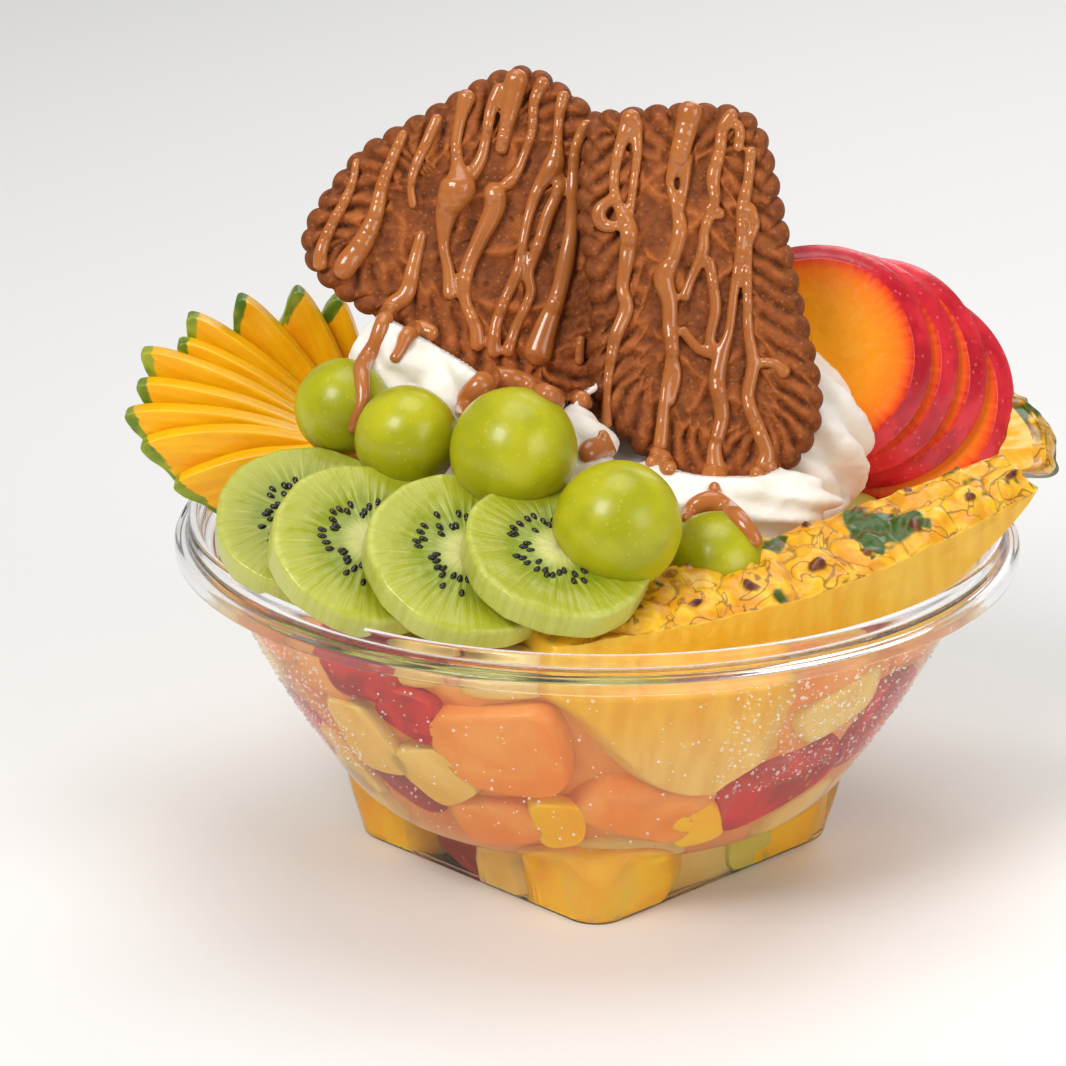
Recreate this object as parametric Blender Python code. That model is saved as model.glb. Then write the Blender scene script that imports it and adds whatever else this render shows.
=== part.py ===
"""A clear plastic cup of cut fruit, topped with a mango fan, fruit slices, grapes, cream and biscuits.

Sizes are in millimetres until a mesh is made, which is in metres. +Z is up, -Y is the front, and the
origin is the centre of the square foot's underside. One of the foot's corners points to the front.
The toppings lean back as they stand, so many places are given on leaning planes as (across, rise, out):
across is along X, rise is up the leaning plane, and out is towards the front of it.
"""

import math
import random

import bmesh
import bpy
import numpy as np

MM = 0.001
GAP = 0.35
SEED = 11
SMOOTH_ANGLE = math.radians(35)

# The cup
WALL = 0.8
FOOT_EDGE = 1.0
FOOT_HALF = 34.2
FOOT_CORNER = 6.5
FOOT_FLARE = 0.205
WALL_PROFILE = (
    (20.0, 6.2), (27.0, 7.0), (33.0, 8.5), (40.0, 11.0), (46.0, 14.0), (49.0, 16.6),
    (52.0, 20.5), (56.3, 27.0), (62.0, 36.0), (67.5, 46.0), (72.0, 55.0), (75.2, 61.5),
)
OUTER_LEVELS = (0.0, 0.7, 8.5, 10.0, 11.5, 13.0, 14.7, 16.6, 20.5, 27.0, 36.0, 48.0, 61.5)
INNER_LEVELS = (61.0, 48.0, 36.0, 27.0, 20.5, 16.6, 14.2, 12.0, 9.5, 1.4)
RIM_PROFILE = (
    (76.2, 63.6), (81.5, 63.9), (81.7, 62.1), (82.5, 62.1), (82.4, 64.7),
    (80.3, 65.1), (79.8, 68.0), (78.7, 68.7), (77.3, 67.6),
)
CUP_TURNS = (0.0, 4.0, 10.0, 18.5, 31.0)

# The leaning planes of the toppings
LEAN = math.radians(20.0)

# Grapes: across, rise, out, radius
GRAPE_AXIS = (0.2, -0.3, 1.0)
GRAPE_LONG = 1.03
GRAPES = (
    (-48.9, 83.4, 46.0, 9.2),
    (-36.4, 77.4, 60.0, 9.8),
    (-16.2, 74.8, 69.0, 11.9),
    (3.0, 61.0, 80.0, 11.9),
    (21.8, 53.7, 62.0, 10.1),
)

# Kiwi slices: across, rise, out, radius, tilt up from the leaning plane, turn to the right
KIWI_THICK = 6.0
KIWI_SLICES = (
    (-55.2, 60.7, 58.7, 17.2, 37.0, 6.0),
    (-43.1, 56.2, 73.2, 18.4, 37.0, 13.0),
    (-25.2, 54.2, 79.0, 18.6, 38.0, 13.0),
    (-8.3, 54.9, 81.5, 17.6, 46.0, 12.0),
)

# Stone fruit slices: across, rise, out, radius
STONE_FRUIT_THICK = 4.2
STONE_FRUIT_LOOKS = (4.0, -6.0)
STONE_FRUIT_SLICES = (
    (42.9, 94.7, 16.2, 22.6),
    (48.4, 93.4, 11.7, 22.8),
    (54.3, 92.2, 7.2, 23.0),
    (60.0, 86.6, 2.7, 23.4),
)

# Mango fan: length, and angle above level, of each slice from the hub, front to back
MANGO_THICK = 4.9
MANGO_STEP = 5.6
MANGO_FRONT = -8.0
MANGO_HUB = (-51.7, 78.5)
MANGO_HUB_DROP = 2.0
MANGO_SLICES = (
    (30.2, -13.5), (36.9, 0.3), (41.5, 9.3), (41.8, 18.3), (44.6, 27.0),
    (40.5, 34.3), (43.3, 41.7), (41.2, 55.3), (39.2, 70.8), (36.9, 81.7),
)
MANGO_HALF_WIDTH = 8.6
FIRST_MANGO_SHARE = 0.82
MANGO_CHUNK_PLACE = (-67.5, -25.0, 69.5)
MANGO_CHUNK_THICK = 9.0
MANGO_CHUNK_OUTLINE = ((-5.5, -4.5), (5.0, -5.0), (5.8, 4.2), (-4.8, 5.0))

# Pineapple
PINEAPPLE_THICK = 12.0
FRONT_PINEAPPLE_ENDS = ((-8.5, -71.3, 67.2), (84.0, -21.0, 79.2))
FRONT_PINEAPPLE_TIP = (17.0, -53.8, 31.0)
RIND_SLANT = 3.0
RIND_DIP = 1.5
RIND_BOW = 8.0
SIDE_PINEAPPLE_THICK = 10.0
SIDE_PINEAPPLE_CORNER = (89.7, 72.5, 8.0)
SIDE_PINEAPPLE_LOOKS = (-0.34, 0.1225, 1.0)
SIDE_PINEAPPLE_OUTLINE = (
    (0.0, 0.0), (1.5, 4.0), (1.2, 8.0), (-0.8, 11.5), (-4.0, 15.0), (-9.0, 18.0), (-17.0, 21.5),
    (-32.0, 20.0), (-46.0, 10.0), (-51.0, -4.0), (-44.0, -11.0), (-24.0, -9.5), (-17.0, -0.2),
)

# Biscuits: each outline on its own leaning plane, as (across, rise), and how far out its face is
BISCUIT_THICK = 8.0
SCALLOP_PITCH = 7.4
SCALLOP_DEPTH = 0.9
OUTLINE_STEPS = 240
OUTLINE_SOFTNESS = 11
SAUCE_HIGH = 3.0
ROOM_MARGIN = 1.3
RIGHT_OUT = 41.0
RIGHT_OUTLINE = (
    (-2.0, 140.5), (2.8, 140.9), (14.7, 142.2), (27.2, 142.0), (31.6, 138.0), (33.5, 130.3),
    (37.8, 109.2), (42.2, 91.0), (43.1, 83.7), (41.4, 77.0), (36.8, 71.8), (29.7, 69.5),
    (15.3, 70.1), (9.0, 74.1), (0.0, 83.3), (-2.1, 89.7), (-1.2, 103.5), (-4.4, 122.7),
)
LEFT_OUT = 29.4
LEFT_OUTLINE = (
    (-58.3, 114.7), (-57.2, 120.1), (-47.0, 134.3), (-33.5, 141.7), (-18.9, 150.2), (-12.0, 150.6),
    (-2.0, 142.5), (12.0, 133.5), (25.0, 125.5), (31.0, 120.0), (30.0, 113.0), (19.0, 103.5), (4.0, 92.0),
    (-4.0, 84.5), (-9.5, 81.0), (-16.0, 82.5), (-22.8, 89.5), (-36.0, 97.4), (-50.0, 105.2), (-55.8, 110.0),
)
# From the rim of the face inwards and back: inset from the edge, and height over the face
BISCUIT_STATIONS = (
    (5.8, -0.4), (4.7, 0.8), (3.4, -0.2), (0.0, -2.0), (0.0, 1.4 - BISCUIT_THICK), (1.6, -BISCUIT_THICK),
)

# Runs of sauce on a biscuit's face: start and end as (across, up) from the middle, and half width
RIGHT_MIDDLE = (19.7, 106.4)
RIGHT_DRIPS = (
    ((-12.0, 34.0), (-9.0, -6.0), 1.1), ((-2.5, 35.5), (-5.0, -32.0), 1.4),
    ((5.5, 34.0), (4.5, -35.0), 1.5), ((11.0, 28.0), (11.5, -33.0), 1.3),
)
LEFT_MIDDLE = (-16.0, 108.1)
LEFT_DRIPS = (
    ((-29.5, 10.0), (-27.0, -11.0), 1.3), ((-22.0, 20.0), (-19.0, -13.0), 1.6),
    ((-9.0, 27.0), (-14.0, -12.0), 1.3), ((-2.0, 29.5), (-7.0, -18.0), 1.8),
    ((7.0, 31.0), (0.0, -20.0), 1.6), ((11.0, 27.0), (9.0, -25.0), 1.9),
)
# Each biscuit: its outline, how far out it is, the middle of its runs, the runs, and their turn
BISCUITS = {
    "biscuit_right": (RIGHT_OUTLINE, RIGHT_OUT, RIGHT_MIDDLE, RIGHT_DRIPS, 3.0),
    "biscuit_left": (LEFT_OUTLINE, LEFT_OUT, LEFT_MIDDLE, LEFT_DRIPS, -14.0),
}

# Cream: how far its ridges wind, and the height that it lies on
SWIRL_TWIST = 1.6
CREAM_FLOOR = 62.8

# Fruit seen through the wall: turn from the front to the right, height, width, height of the piece
SEEN_FRUIT = (
    (-45, 40, 12, 17), (-32, 47, 12, 10), (-17, 41, 22, 19), (-31, 33, 14, 15), (-41, 26, 13, 11),
    (-20, 23, 14, 12), (-9, 23, 10, 11), (5, 31, 22, 17), (20, 21, 9, 10), (36, 28, 22, 15),
    (38, 43, 20, 13), (60, 38, 16, 20), (-74, 9, 16, 15), (-46, 7, 17, 10), (-20, 6, 14, 12),
    (4, 8, 20, 17), (38, 5, 15, 11), (64, 6, 11, 12), (86, 9, 15, 17),
)
UNSEEN_WIDTH = (14, 18)
UNSEEN_TALL = (13, 17)
CORE_TOP = 60.8
CORE_PROFILE = ((26.0, 5.0), (33.0, 12.0), (42.0, 20.0), (54.0, 36.0), (63.0, 50.0), (66.0, 59.0))
UNSEEN_LEVELS = ((9, 100, 274, 6), (24, 64, 308, 8), (38, 78, 306, 9), (53, -180, 176, 14))

COLOURS = {
    "clear": ((0.9, 0.93, 0.95), 0.05),
    "fruit": ((0.9, 0.45, 0.15), 0.4),
    "mango": ((0.95, 0.6, 0.03), 0.35),
    "kiwi": ((0.42, 0.58, 0.08), 0.35),
    "grape": ((0.45, 0.6, 0.08), 0.25),
    "stone_fruit": ((0.9, 0.3, 0.06), 0.3),
    "pineapple": ((0.85, 0.6, 0.1), 0.4),
    "biscuit": ((0.28, 0.12, 0.045), 0.75),
    "cream": ((0.93, 0.92, 0.89), 0.45),
}


def unit(vector):
    vector = np.asarray(vector, float)
    return vector / np.linalg.norm(vector)


ACROSS = np.array((1.0, 0.0, 0.0))
RISE = np.array((0.0, math.sin(LEAN), math.cos(LEAN)))
OUT = np.array((0.0, -math.cos(LEAN), math.sin(LEAN)))


def lean_point(across, rise, out):
    """The world place of a point that is given on the leaning planes."""
    return across * ACROSS + rise * RISE + out * OUT


def lean_direction(tilt, turn):
    """The way a face looks that is tilted up from the leaning plane and turned to the right, in degrees."""
    tilt, turn = math.radians(tilt), math.radians(turn)
    forward = math.cos(tilt) * OUT + math.sin(tilt) * RISE
    return unit(math.cos(turn) * forward + math.sin(turn) * ACROSS)


def closed_grid(first_pole, rings, last_pole):
    """Points and faces of a closed skin of rings, with a fan of triangles to a pole at each end."""
    rings = np.asarray(rings, float)
    count, around, _ = rings.shape
    points = np.concatenate([[first_pole], rings.reshape(-1, 3), [last_pole]])
    here = np.arange(around)
    after = (here + 1) % around
    last = len(points) - 1
    faces = [(0, 1 + b, 1 + a) for a, b in zip(here, after)]
    for row in range(count - 1):
        low, high = 1 + row * around, 1 + (row + 1) * around
        faces += [(low + a, low + b, high + b, high + a) for a, b in zip(here, after)]
    top = 1 + (count - 1) * around
    faces += [(last, top + a, top + b) for a, b in zip(here, after)]
    return points, faces


def facing_out(points, faces):
    """The faces, turned round if they enclose a negative volume."""
    volume = 0.0
    for face in faces:
        for k in range(1, len(face) - 1):
            a, b, c = points[face[0]], points[face[k]], points[face[k + 1]]
            volume += np.dot(a, np.cross(b, c))
    return faces if volume > 0 else [tuple(reversed(face)) for face in faces]


def mesh_object(name, shape, material):
    points, faces = shape
    mesh = bpy.data.meshes.new(name)
    mesh.from_pydata((points * MM).tolist(), [], facing_out(points, faces))
    mesh.materials.append(material)
    piece = bpy.data.objects.new(name, mesh)
    bpy.context.scene.collection.objects.link(piece)
    return piece


def grown(shape, by):
    """The same closed skin with its faces moved out."""
    points, faces = shape
    form = bmesh.new()
    corners = [form.verts.new(point) for point in points]
    for face in facing_out(points, faces):
        form.faces.new([corners[i] for i in face])
    form.normal_update()
    moved = [v.co + v.normal * by * min(v.calc_shell_factor(), 2.0) for v in corners]
    result = np.array([list(point) for point in moved])
    form.free()
    return result, faces


def finish(kind):
    colour, roughness = COLOURS[kind]
    material = bpy.data.materials.new(kind)
    material.use_nodes = True
    shader = material.node_tree.nodes["Principled BSDF"]
    shader.inputs["Base Color"].default_value = (*colour, 1.0)
    shader.inputs["Roughness"].default_value = roughness
    if kind == "clear":
        shader.inputs["Transmission Weight"].default_value = 1.0
    return material


def keep_largest(mesh):
    """Drops the loose scraps that a cut leaves."""
    form = bmesh.new()
    form.from_mesh(mesh)
    seen, bodies = set(), []
    for start in form.faces:
        if start in seen:
            continue
        seen.add(start)
        body, stack = [], [start]
        while stack:
            face = stack.pop()
            body.append(face)
            for edge in face.edges:
                for other in edge.link_faces:
                    if other not in seen:
                        seen.add(other)
                        stack.append(other)
        bodies.append(body)

    def extent(body):
        places = np.array([v.co[:] for face in body for v in face.verts])
        return float(np.prod(places.max(axis=0) - places.min(axis=0)))

    bodies.sort(key=extent, reverse=True)
    scraps = [face for body in bodies[1:] for face in body]
    bmesh.ops.delete(form, geom=scraps, context="FACES")
    loose = [v for v in form.verts if not v.link_faces]
    bmesh.ops.delete(form, geom=loose, context="VERTS")
    form.to_mesh(mesh)
    form.free()


def is_closed(mesh):
    """Whether every edge has a face on each side."""
    if not mesh.polygons:
        return False
    form = bmesh.new()
    form.from_mesh(mesh)
    closed = all(len(edge.link_faces) == 2 for edge in form.edges)
    form.free()
    return closed


def combine(piece, others, operation):
    """Applies one Boolean of the piece with the other objects, which are then removed."""
    if not others:
        return
    group = bpy.data.collections.new("tools")
    bpy.context.scene.collection.children.link(group)
    for other in others:
        group.objects.link(other)
    modifier = piece.modifiers.new("shape", "BOOLEAN")
    modifier.operand_type = "COLLECTION"
    modifier.collection = group
    modifier.operation = operation
    for solver in ("EXACT", "MANIFOLD"):
        modifier.solver = solver
        graph = bpy.context.evaluated_depsgraph_get()
        mesh = bpy.data.meshes.new_from_object(piece.evaluated_get(graph))
        if is_closed(mesh):
            break
    piece.modifiers.clear()
    material = piece.data.materials[0]
    mesh.materials.clear()
    mesh.materials.append(material)
    mesh.polygons.foreach_set("material_index", [0] * len(mesh.polygons))
    piece.data = mesh
    for other in others:
        bpy.data.objects.remove(other)
    bpy.data.collections.remove(group)
    keep_largest(mesh)


def box_of(shapes, margin=1.0):
    points = np.concatenate([points for points, _ in shapes])
    return points.min(axis=0) - margin, points.max(axis=0) + margin


class Tray:
    """The pieces in the order of which gives way: a later piece is cut clear of each one before it."""

    def __init__(self):
        self.placed = []

    def clear_of_others(self, piece, box):
        low, high = box
        for shapes, (other_low, other_high) in self.placed:
            if (low > other_high).any() or (high < other_low).any():
                continue
            cutters = []
            for shape in shapes:
                shape_low, shape_high = box_of([shape])
                if (low < shape_high).all() and (high > shape_low).all():
                    cutters.append(mesh_object("cutter", grown(shape, GAP), piece.data.materials[0]))
            combine(piece, cutters, "DIFFERENCE")

    def place(self, name, shapes, kind, room=None):
        """Fuses the shapes into one piece, and cuts it clear of what is already placed.

        Room is the plainer form that later pieces keep clear of, if it isn't the piece itself.
        """
        material = finish(kind)
        piece = mesh_object(name, shapes[0], material)
        combine(piece, [mesh_object("part", shape, material) for shape in shapes[1:]], "UNION")
        self.clear_of_others(piece, box_of(shapes))
        room = room or shapes
        self.placed.append((room, box_of(room)))
        piece.data.shade_smooth()
        piece.data.set_sharp_from_angle(angle=SMOOTH_ANGLE)
        return piece


def offset_profile(profile, inset):
    """The profile moved to its inner side by the inset."""
    line = np.asarray(profile)
    along = np.gradient(line, axis=0)
    along /= np.linalg.norm(along, axis=1)[:, None]
    return line + inset * np.stack([-along[:, 1], along[:, 0]], axis=1)


def foot_radius(turn, height, inset):
    """Radius of the square foot with round corners, turn being measured from the nearest corner."""
    half = FOOT_HALF - inset + FOOT_FLARE * height
    corner = FOOT_CORNER - inset
    reach = (half - corner) * math.sqrt(2.0)
    meets = np.arctan2(corner * math.sin(math.pi / 4), reach + corner * math.cos(math.pi / 4))
    turn = np.abs(turn)
    inside = np.clip(corner**2 - (reach * np.sin(turn)) ** 2, 0.0, None)
    return np.where(turn < meets, reach * np.cos(turn) + np.sqrt(inside), half / np.cos(math.pi / 4 - turn))


def cup_turns():
    """Angles round the cup from a corner of the foot, and each one's angle from the nearest corner."""
    quarter = [-turn for turn in reversed(CUP_TURNS[1:])] + list(CUP_TURNS) + [45.0]
    near = np.radians(np.tile(quarter, 4))
    whole = near + np.repeat(np.arange(4) * math.pi / 2, len(quarter))
    return whole, near


def cup_ring(height, inset, edge=0.0):
    """One ring of the cup's skin: the round bowl or the square foot, whichever is wider there."""
    whole, near = cup_turns()
    profile = offset_profile(WALL_PROFILE, inset)
    round_radius = np.interp(height, profile[:, 1], profile[:, 0], left=0.0)
    radius = np.maximum(round_radius, foot_radius(near, height, inset)) - edge
    return np.stack([radius * np.sin(whole), -radius * np.cos(whole), np.full_like(whole, height)], axis=1)


def turned_ring(radius, height):
    whole, _ = cup_turns()
    return np.stack([radius * np.sin(whole), -radius * np.cos(whole), np.full_like(whole, height)], axis=1)


def cup_shape():
    outer = [cup_ring(height, 0.0, FOOT_EDGE if height == 0.0 else 0.0) for height in OUTER_LEVELS]
    rim = [turned_ring(radius, height) for radius, height in RIM_PROFILE]
    inner = [cup_ring(height, WALL) for height in INNER_LEVELS]
    floor = [cup_ring(WALL, WALL, FOOT_EDGE)]
    return closed_grid((0, 0, 0), outer + rim + inner + floor, (0, 0, WALL))


def disc_shape(middle, facing, stations, sides):
    """A turned slice: stations are (radius, height along the way it faces), back to front."""
    side = unit(np.cross(facing, (0.0, 0.0, 1.0)) if abs(facing[2]) < 0.99 else (1.0, 0.0, 0.0))
    up = np.cross(side, facing)
    turns = np.arange(sides) * 2 * math.pi / sides
    ring = np.cos(turns)[:, None] * side + np.sin(turns)[:, None] * up
    rings = [middle + radius * ring + height * facing for radius, height in stations]
    first, last = stations[0][1], stations[-1][1]
    return closed_grid(middle + first * facing, rings, middle + last * facing)


def grape_shape(across, rise, out, radius):
    turns = np.radians(np.linspace(0, 180, 9)[1:-1])
    stations = [(radius * math.sin(a), -GRAPE_LONG * radius * math.cos(a)) for a in turns]
    middle, axis = lean_point(across, rise, out), unit(GRAPE_AXIS)
    shape = disc_shape(middle, axis, stations, 13)
    shape[0][0] = middle - GRAPE_LONG * radius * axis
    shape[0][-1] = middle + GRAPE_LONG * radius * axis
    return shape


def kiwi_shape(across, rise, out, radius, tilt, turn):
    half = KIWI_THICK / 2
    stations = ((radius - 1.0, -half), (radius, 1.0 - half), (radius, half - 1.0), (radius - 1.0, half))
    return disc_shape(lean_point(across, rise, out), lean_direction(tilt, turn), stations, 24)


def stone_fruit_shape(across, rise, out, radius):
    half = STONE_FRUIT_THICK / 2
    stations = ((radius - 0.6, -half), (radius, 0.7 - half), (radius - 1.5, 0.6), (radius - 3.4, half))
    return disc_shape(lean_point(across, rise, out), lean_direction(*STONE_FRUIT_LOOKS), stations, 22)


def plate(outline, thickness, middle, right, up, edge=0.6):
    """A flat slice with softened edges from an outline in its own plane, its front at the middle point."""
    outline = np.asarray(outline, float)
    back = np.cross(up, right)
    centre = outline.mean(axis=0)
    arm = outline - centre
    inner = centre + arm * (1 - edge / np.linalg.norm(arm, axis=1))[:, None]
    rings = []
    for line, depth in ((inner, 0.0), (outline, edge), (outline, thickness - edge), (inner, thickness)):
        rings.append(middle + line[:, :1] * right + line[:, 1:] * up + depth * back)
    front_pole = middle + centre[0] * right + centre[1] * up
    return closed_grid(front_pole, rings, front_pole + thickness * back)


def mango_shape(index, length, angle):
    """One slice of the fan: it runs out from the hub, and ends in the skin."""
    angle = math.radians(angle)
    right = np.array((-math.cos(angle), 0.0, math.sin(angle)))
    up = np.array((math.sin(angle), 0.0, math.cos(angle)))
    hub = np.array((MANGO_HUB[0], MANGO_FRONT + index * MANGO_STEP, MANGO_HUB[1] - index * MANGO_HUB_DROP))
    wide = MANGO_HALF_WIDTH * (FIRST_MANGO_SHARE if index == 0 else 1.0)
    outline = (
        (-5.0, -0.45 * wide), (6.0, -0.7 * wide), (0.5 * length, -0.8 * wide), (0.75 * length, -0.55 * wide),
        (length - 4.4, 0.6 * wide - 5.0), (length - 1.2, 0.6 * wide - 2.6), (length, 0.6 * wide),
        (0.84 * length, 0.85 * wide), (0.5 * length, 0.98 * wide), (6.0, 0.8 * wide), (-5.0, 0.45 * wide),
    )
    return plate(outline, MANGO_THICK, hub, right, up, 0.5)


def mango_chunk_shape():
    right, up = unit((0.75, -0.6, 0.2)), unit((-0.1, 0.2, 1.0))
    up = unit(up - np.dot(up, right) * right)
    return plate(MANGO_CHUNK_OUTLINE, MANGO_CHUNK_THICK, np.array(MANGO_CHUNK_PLACE), right, up, 0.8)


def front_pineapple_shape():
    """A thick slice that stands along the wall: a long bowed rind on top, its flesh narrowing to a tip."""
    left, right = (np.array(end) for end in FRONT_PINEAPPLE_ENDS)
    tip = np.array(FRONT_PINEAPPLE_TIP)
    along = unit(right - left)
    inward = unit(np.cross(along, tip - left))
    inward = inward if inward[1] > 0 else -inward
    up = unit(np.cross(inward, along))
    up = up if up[2] > 0 else -up
    length = np.linalg.norm(right - left)
    drop = np.dot(tip - left, up)
    reach = np.dot(tip - left, along)
    steps = np.linspace(0.0, 1.0, 15)
    rind = [(length * s, -RIND_DIP * math.sin(math.pi * s)) for s in steps]
    flesh = [(0.93 * length, -5.0), (0.7 * length, 0.42 * drop), (reach + 9, 0.93 * drop), (reach, drop),
             (reach - 8, 0.9 * drop), (6.0, 0.4 * drop), (-1.0, -8.0)]
    outline = np.array(rind + flesh)
    on_rind = np.zeros(len(outline))
    on_rind[1 : len(rind) - 1] = 1.0
    bumps = 0.9 * on_rind * np.sin(np.arange(len(outline)) * 2.2)
    centre = np.array((0.45 * length, 0.2 * drop))

    def bow(x, y):
        return RIND_BOW * np.sin(math.pi * np.clip(x / length, 0, 1)) * np.clip(1 - y / drop, 0, 1)

    bowed = bow(outline[:, 0], outline[:, 1])[:, None]
    back = np.linspace(0.0, 1.0, 4) * PINEAPPLE_THICK
    rings = []
    for depth in back:
        share = depth / PINEAPPLE_THICK
        bulge = 1.6 * math.sin(math.pi * share)
        lift = on_rind * (RIND_SLANT * share + bulge + bumps * math.sin(math.pi * share))
        deep = depth - bowed * (1 - share)
        rings.append(left + outline[:, :1] * along + (outline[:, 1] + lift)[:, None] * up + deep * inward)
    middle = left + centre[0] * along + centre[1] * up
    return closed_grid(middle - bow(*centre) * inward, rings, middle + PINEAPPLE_THICK * inward)


def side_pineapple_shape():
    """The second slice, behind the stone fruit at the right, its rind outwards."""
    corner = lean_point(*SIDE_PINEAPPLE_CORNER)
    facing = unit(lean_point(*SIDE_PINEAPPLE_LOOKS))
    right = unit(ACROSS - np.dot(ACROSS, facing) * facing)
    up = unit(np.cross(facing, right))
    return plate(SIDE_PINEAPPLE_OUTLINE, SIDE_PINEAPPLE_THICK, corner, right, up, 0.7)


def smooth_outline(knots, count):
    """A closed line through the knots with its corners rounded, at even steps, and each point's way out."""
    ring = np.array(knots + knots[:1], float)
    travelled = np.concatenate([[0], np.cumsum(np.linalg.norm(np.diff(ring, axis=0), axis=1))])
    at = np.arange(OUTLINE_STEPS) / OUTLINE_STEPS * travelled[-1]
    line = np.stack([np.interp(at, travelled, ring[:, k]) for k in (0, 1)], axis=1)
    line = sum(np.roll(line, shift, axis=0) for shift in range(OUTLINE_SOFTNESS)) / OUTLINE_SOFTNESS
    picked = np.round(np.arange(count) * OUTLINE_STEPS / count).astype(int)
    way = np.roll(line, -1, axis=0) - np.roll(line, 1, axis=0)
    way = way[picked] / np.linalg.norm(way[picked], axis=1)[:, None]
    line = line[picked]
    outward = np.stack([way[:, 1], -way[:, 0]], axis=1)
    inside_out = np.sum(outward * (line - line.mean(axis=0))) < 0
    return line, -outward if inside_out else outward


def on_plane(line, out):
    """World places of points that are given as (across, rise) on the leaning plane at out."""
    return line[:, :1] * ACROSS + line[:, 1:] * RISE + np.reshape(out, (-1, 1)) * OUT


def biscuit_room(knots, out):
    """A plain slab that holds a biscuit with its sauce."""
    line, outward = smooth_outline(knots, 24)
    line = line + ROOM_MARGIN * outward
    middle = line.mean(axis=0)
    rings = [on_plane(line, out + SAUCE_HIGH), on_plane(line, out - BISCUIT_THICK)]
    return closed_grid(lean_point(*middle, out + SAUCE_HIGH), rings, lean_point(*middle, out - BISCUIT_THICK))


def biscuit_body(knots, out):
    """The biscuit's slab: scalloped edge, raised frame, and a face a little lower inside it."""
    plain, _ = smooth_outline(knots, 24)
    scallops = round(np.linalg.norm(plain - np.roll(plain, 1, axis=0), axis=1).sum() / SCALLOP_PITCH)
    count = 3 * scallops
    line, outward = smooth_outline(knots, count)
    line = line + outward * (SCALLOP_DEPTH * np.abs(np.sin(np.arange(count) * math.pi / 3)) - 0.7)[:, None]
    middle = line.mean(axis=0)
    arm = line - middle
    length = np.linalg.norm(arm, axis=1)[:, None]
    rings = [on_plane(middle + arm * (1 - inset / length), out + height)
             for inset, height in BISCUIT_STATIONS]
    return closed_grid(lean_point(*middle, out - 0.5), rings, lean_point(*middle, out - BISCUIT_THICK))


def drip_shape(frame, start, end, wide, bead=1.25):
    """A run of thick sauce down a biscuit's face: it wavers, and ends in a fuller drop."""
    middle, right, up = frame
    steps = np.linspace(0.0, 1.0, 5)
    start, end = np.array(start, float), np.array(end, float)
    way = unit(end - start)
    side = np.array((way[1], -way[0]))
    sway = 0.9 * np.sin(steps * 5.0 + start[0])
    line = start + steps[:, None] * (end - start) + sway[:, None] * side
    swell = wide * np.where(steps > 0.75, bead, 0.8 + 0.3 * np.cos(steps * 9.0 + start[0]))
    turns = (np.arange(5) + 0.25) * 2 * math.pi / 5
    rings = []
    for point, radius in zip(line, swell):
        along_side = point + radius * np.cos(turns)[:, None] * side
        height = 0.3 + 0.85 * radius * np.sin(turns) + 0.55
        rings.append(middle + along_side[:, :1] * right + along_side[:, 1:] * up + height[:, None] * OUT)
    cap = 0.7 * way
    first, last = line[0] - cap * swell[0], line[-1] + cap * swell[-1]
    poles = [middle + point[0] * right + point[1] * up + 0.8 * OUT for point in (first, last)]
    return closed_grid(poles[0], rings, poles[1])


def biscuit_shapes(knots, out, middle, drips, turn):
    """The slab with its runs of sauce, which go down at one turn, whatever way the biscuit lies."""
    angle = math.radians(turn)
    frame = (lean_point(*middle, out), math.cos(angle) * ACROSS + math.sin(angle) * RISE,
             -math.sin(angle) * ACROSS + math.cos(angle) * RISE)
    return [biscuit_body(knots, out)] + [drip_shape(frame, *drip) for drip in drips]


def swirl(middle, radii, up, ridges, depth, rows, sides, lift=0.0):
    """A piped mound: an egg shape whose ridges wind as they climb to a soft peak, flat where it lies."""
    middle, radii, up = np.array(middle, float), np.array(radii, float), unit(up)
    side = unit(np.cross(up, (0.0, 1.0, 0.1)))
    front = np.cross(up, side)
    turns = np.arange(sides) * 2 * math.pi / sides
    rings = []
    for polar in np.radians(np.linspace(0, 180, rows + 2)[1:-1]):
        height = -math.cos(polar)
        wind = turns + SWIRL_TWIST * height
        swell = 1 + depth * np.cos(ridges * wind) * math.sin(polar)
        ring = (np.cos(turns) * radii[0] * math.sin(polar) * swell)[:, None] * side
        ring = ring + (np.sin(turns) * radii[1] * math.sin(polar) * swell)[:, None] * front
        rings.append(middle + ring + (height * radii[2] + lift * max(height, 0) ** 4) * up)
    rings = np.array(rings)
    low = rings[:, :, 2] < CREAM_FLOOR
    rings[:, :, 2] = np.where(low, CREAM_FLOOR - 0.02 * (CREAM_FLOOR - rings[:, :, 2]), rings[:, :, 2])
    bottom = middle - radii[2] * up
    bottom[2] = max(bottom[2], CREAM_FLOOR - 0.02 * (CREAM_FLOOR - bottom[2]))
    return closed_grid(bottom, rings, middle + (radii[2] + lift) * up)


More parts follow.
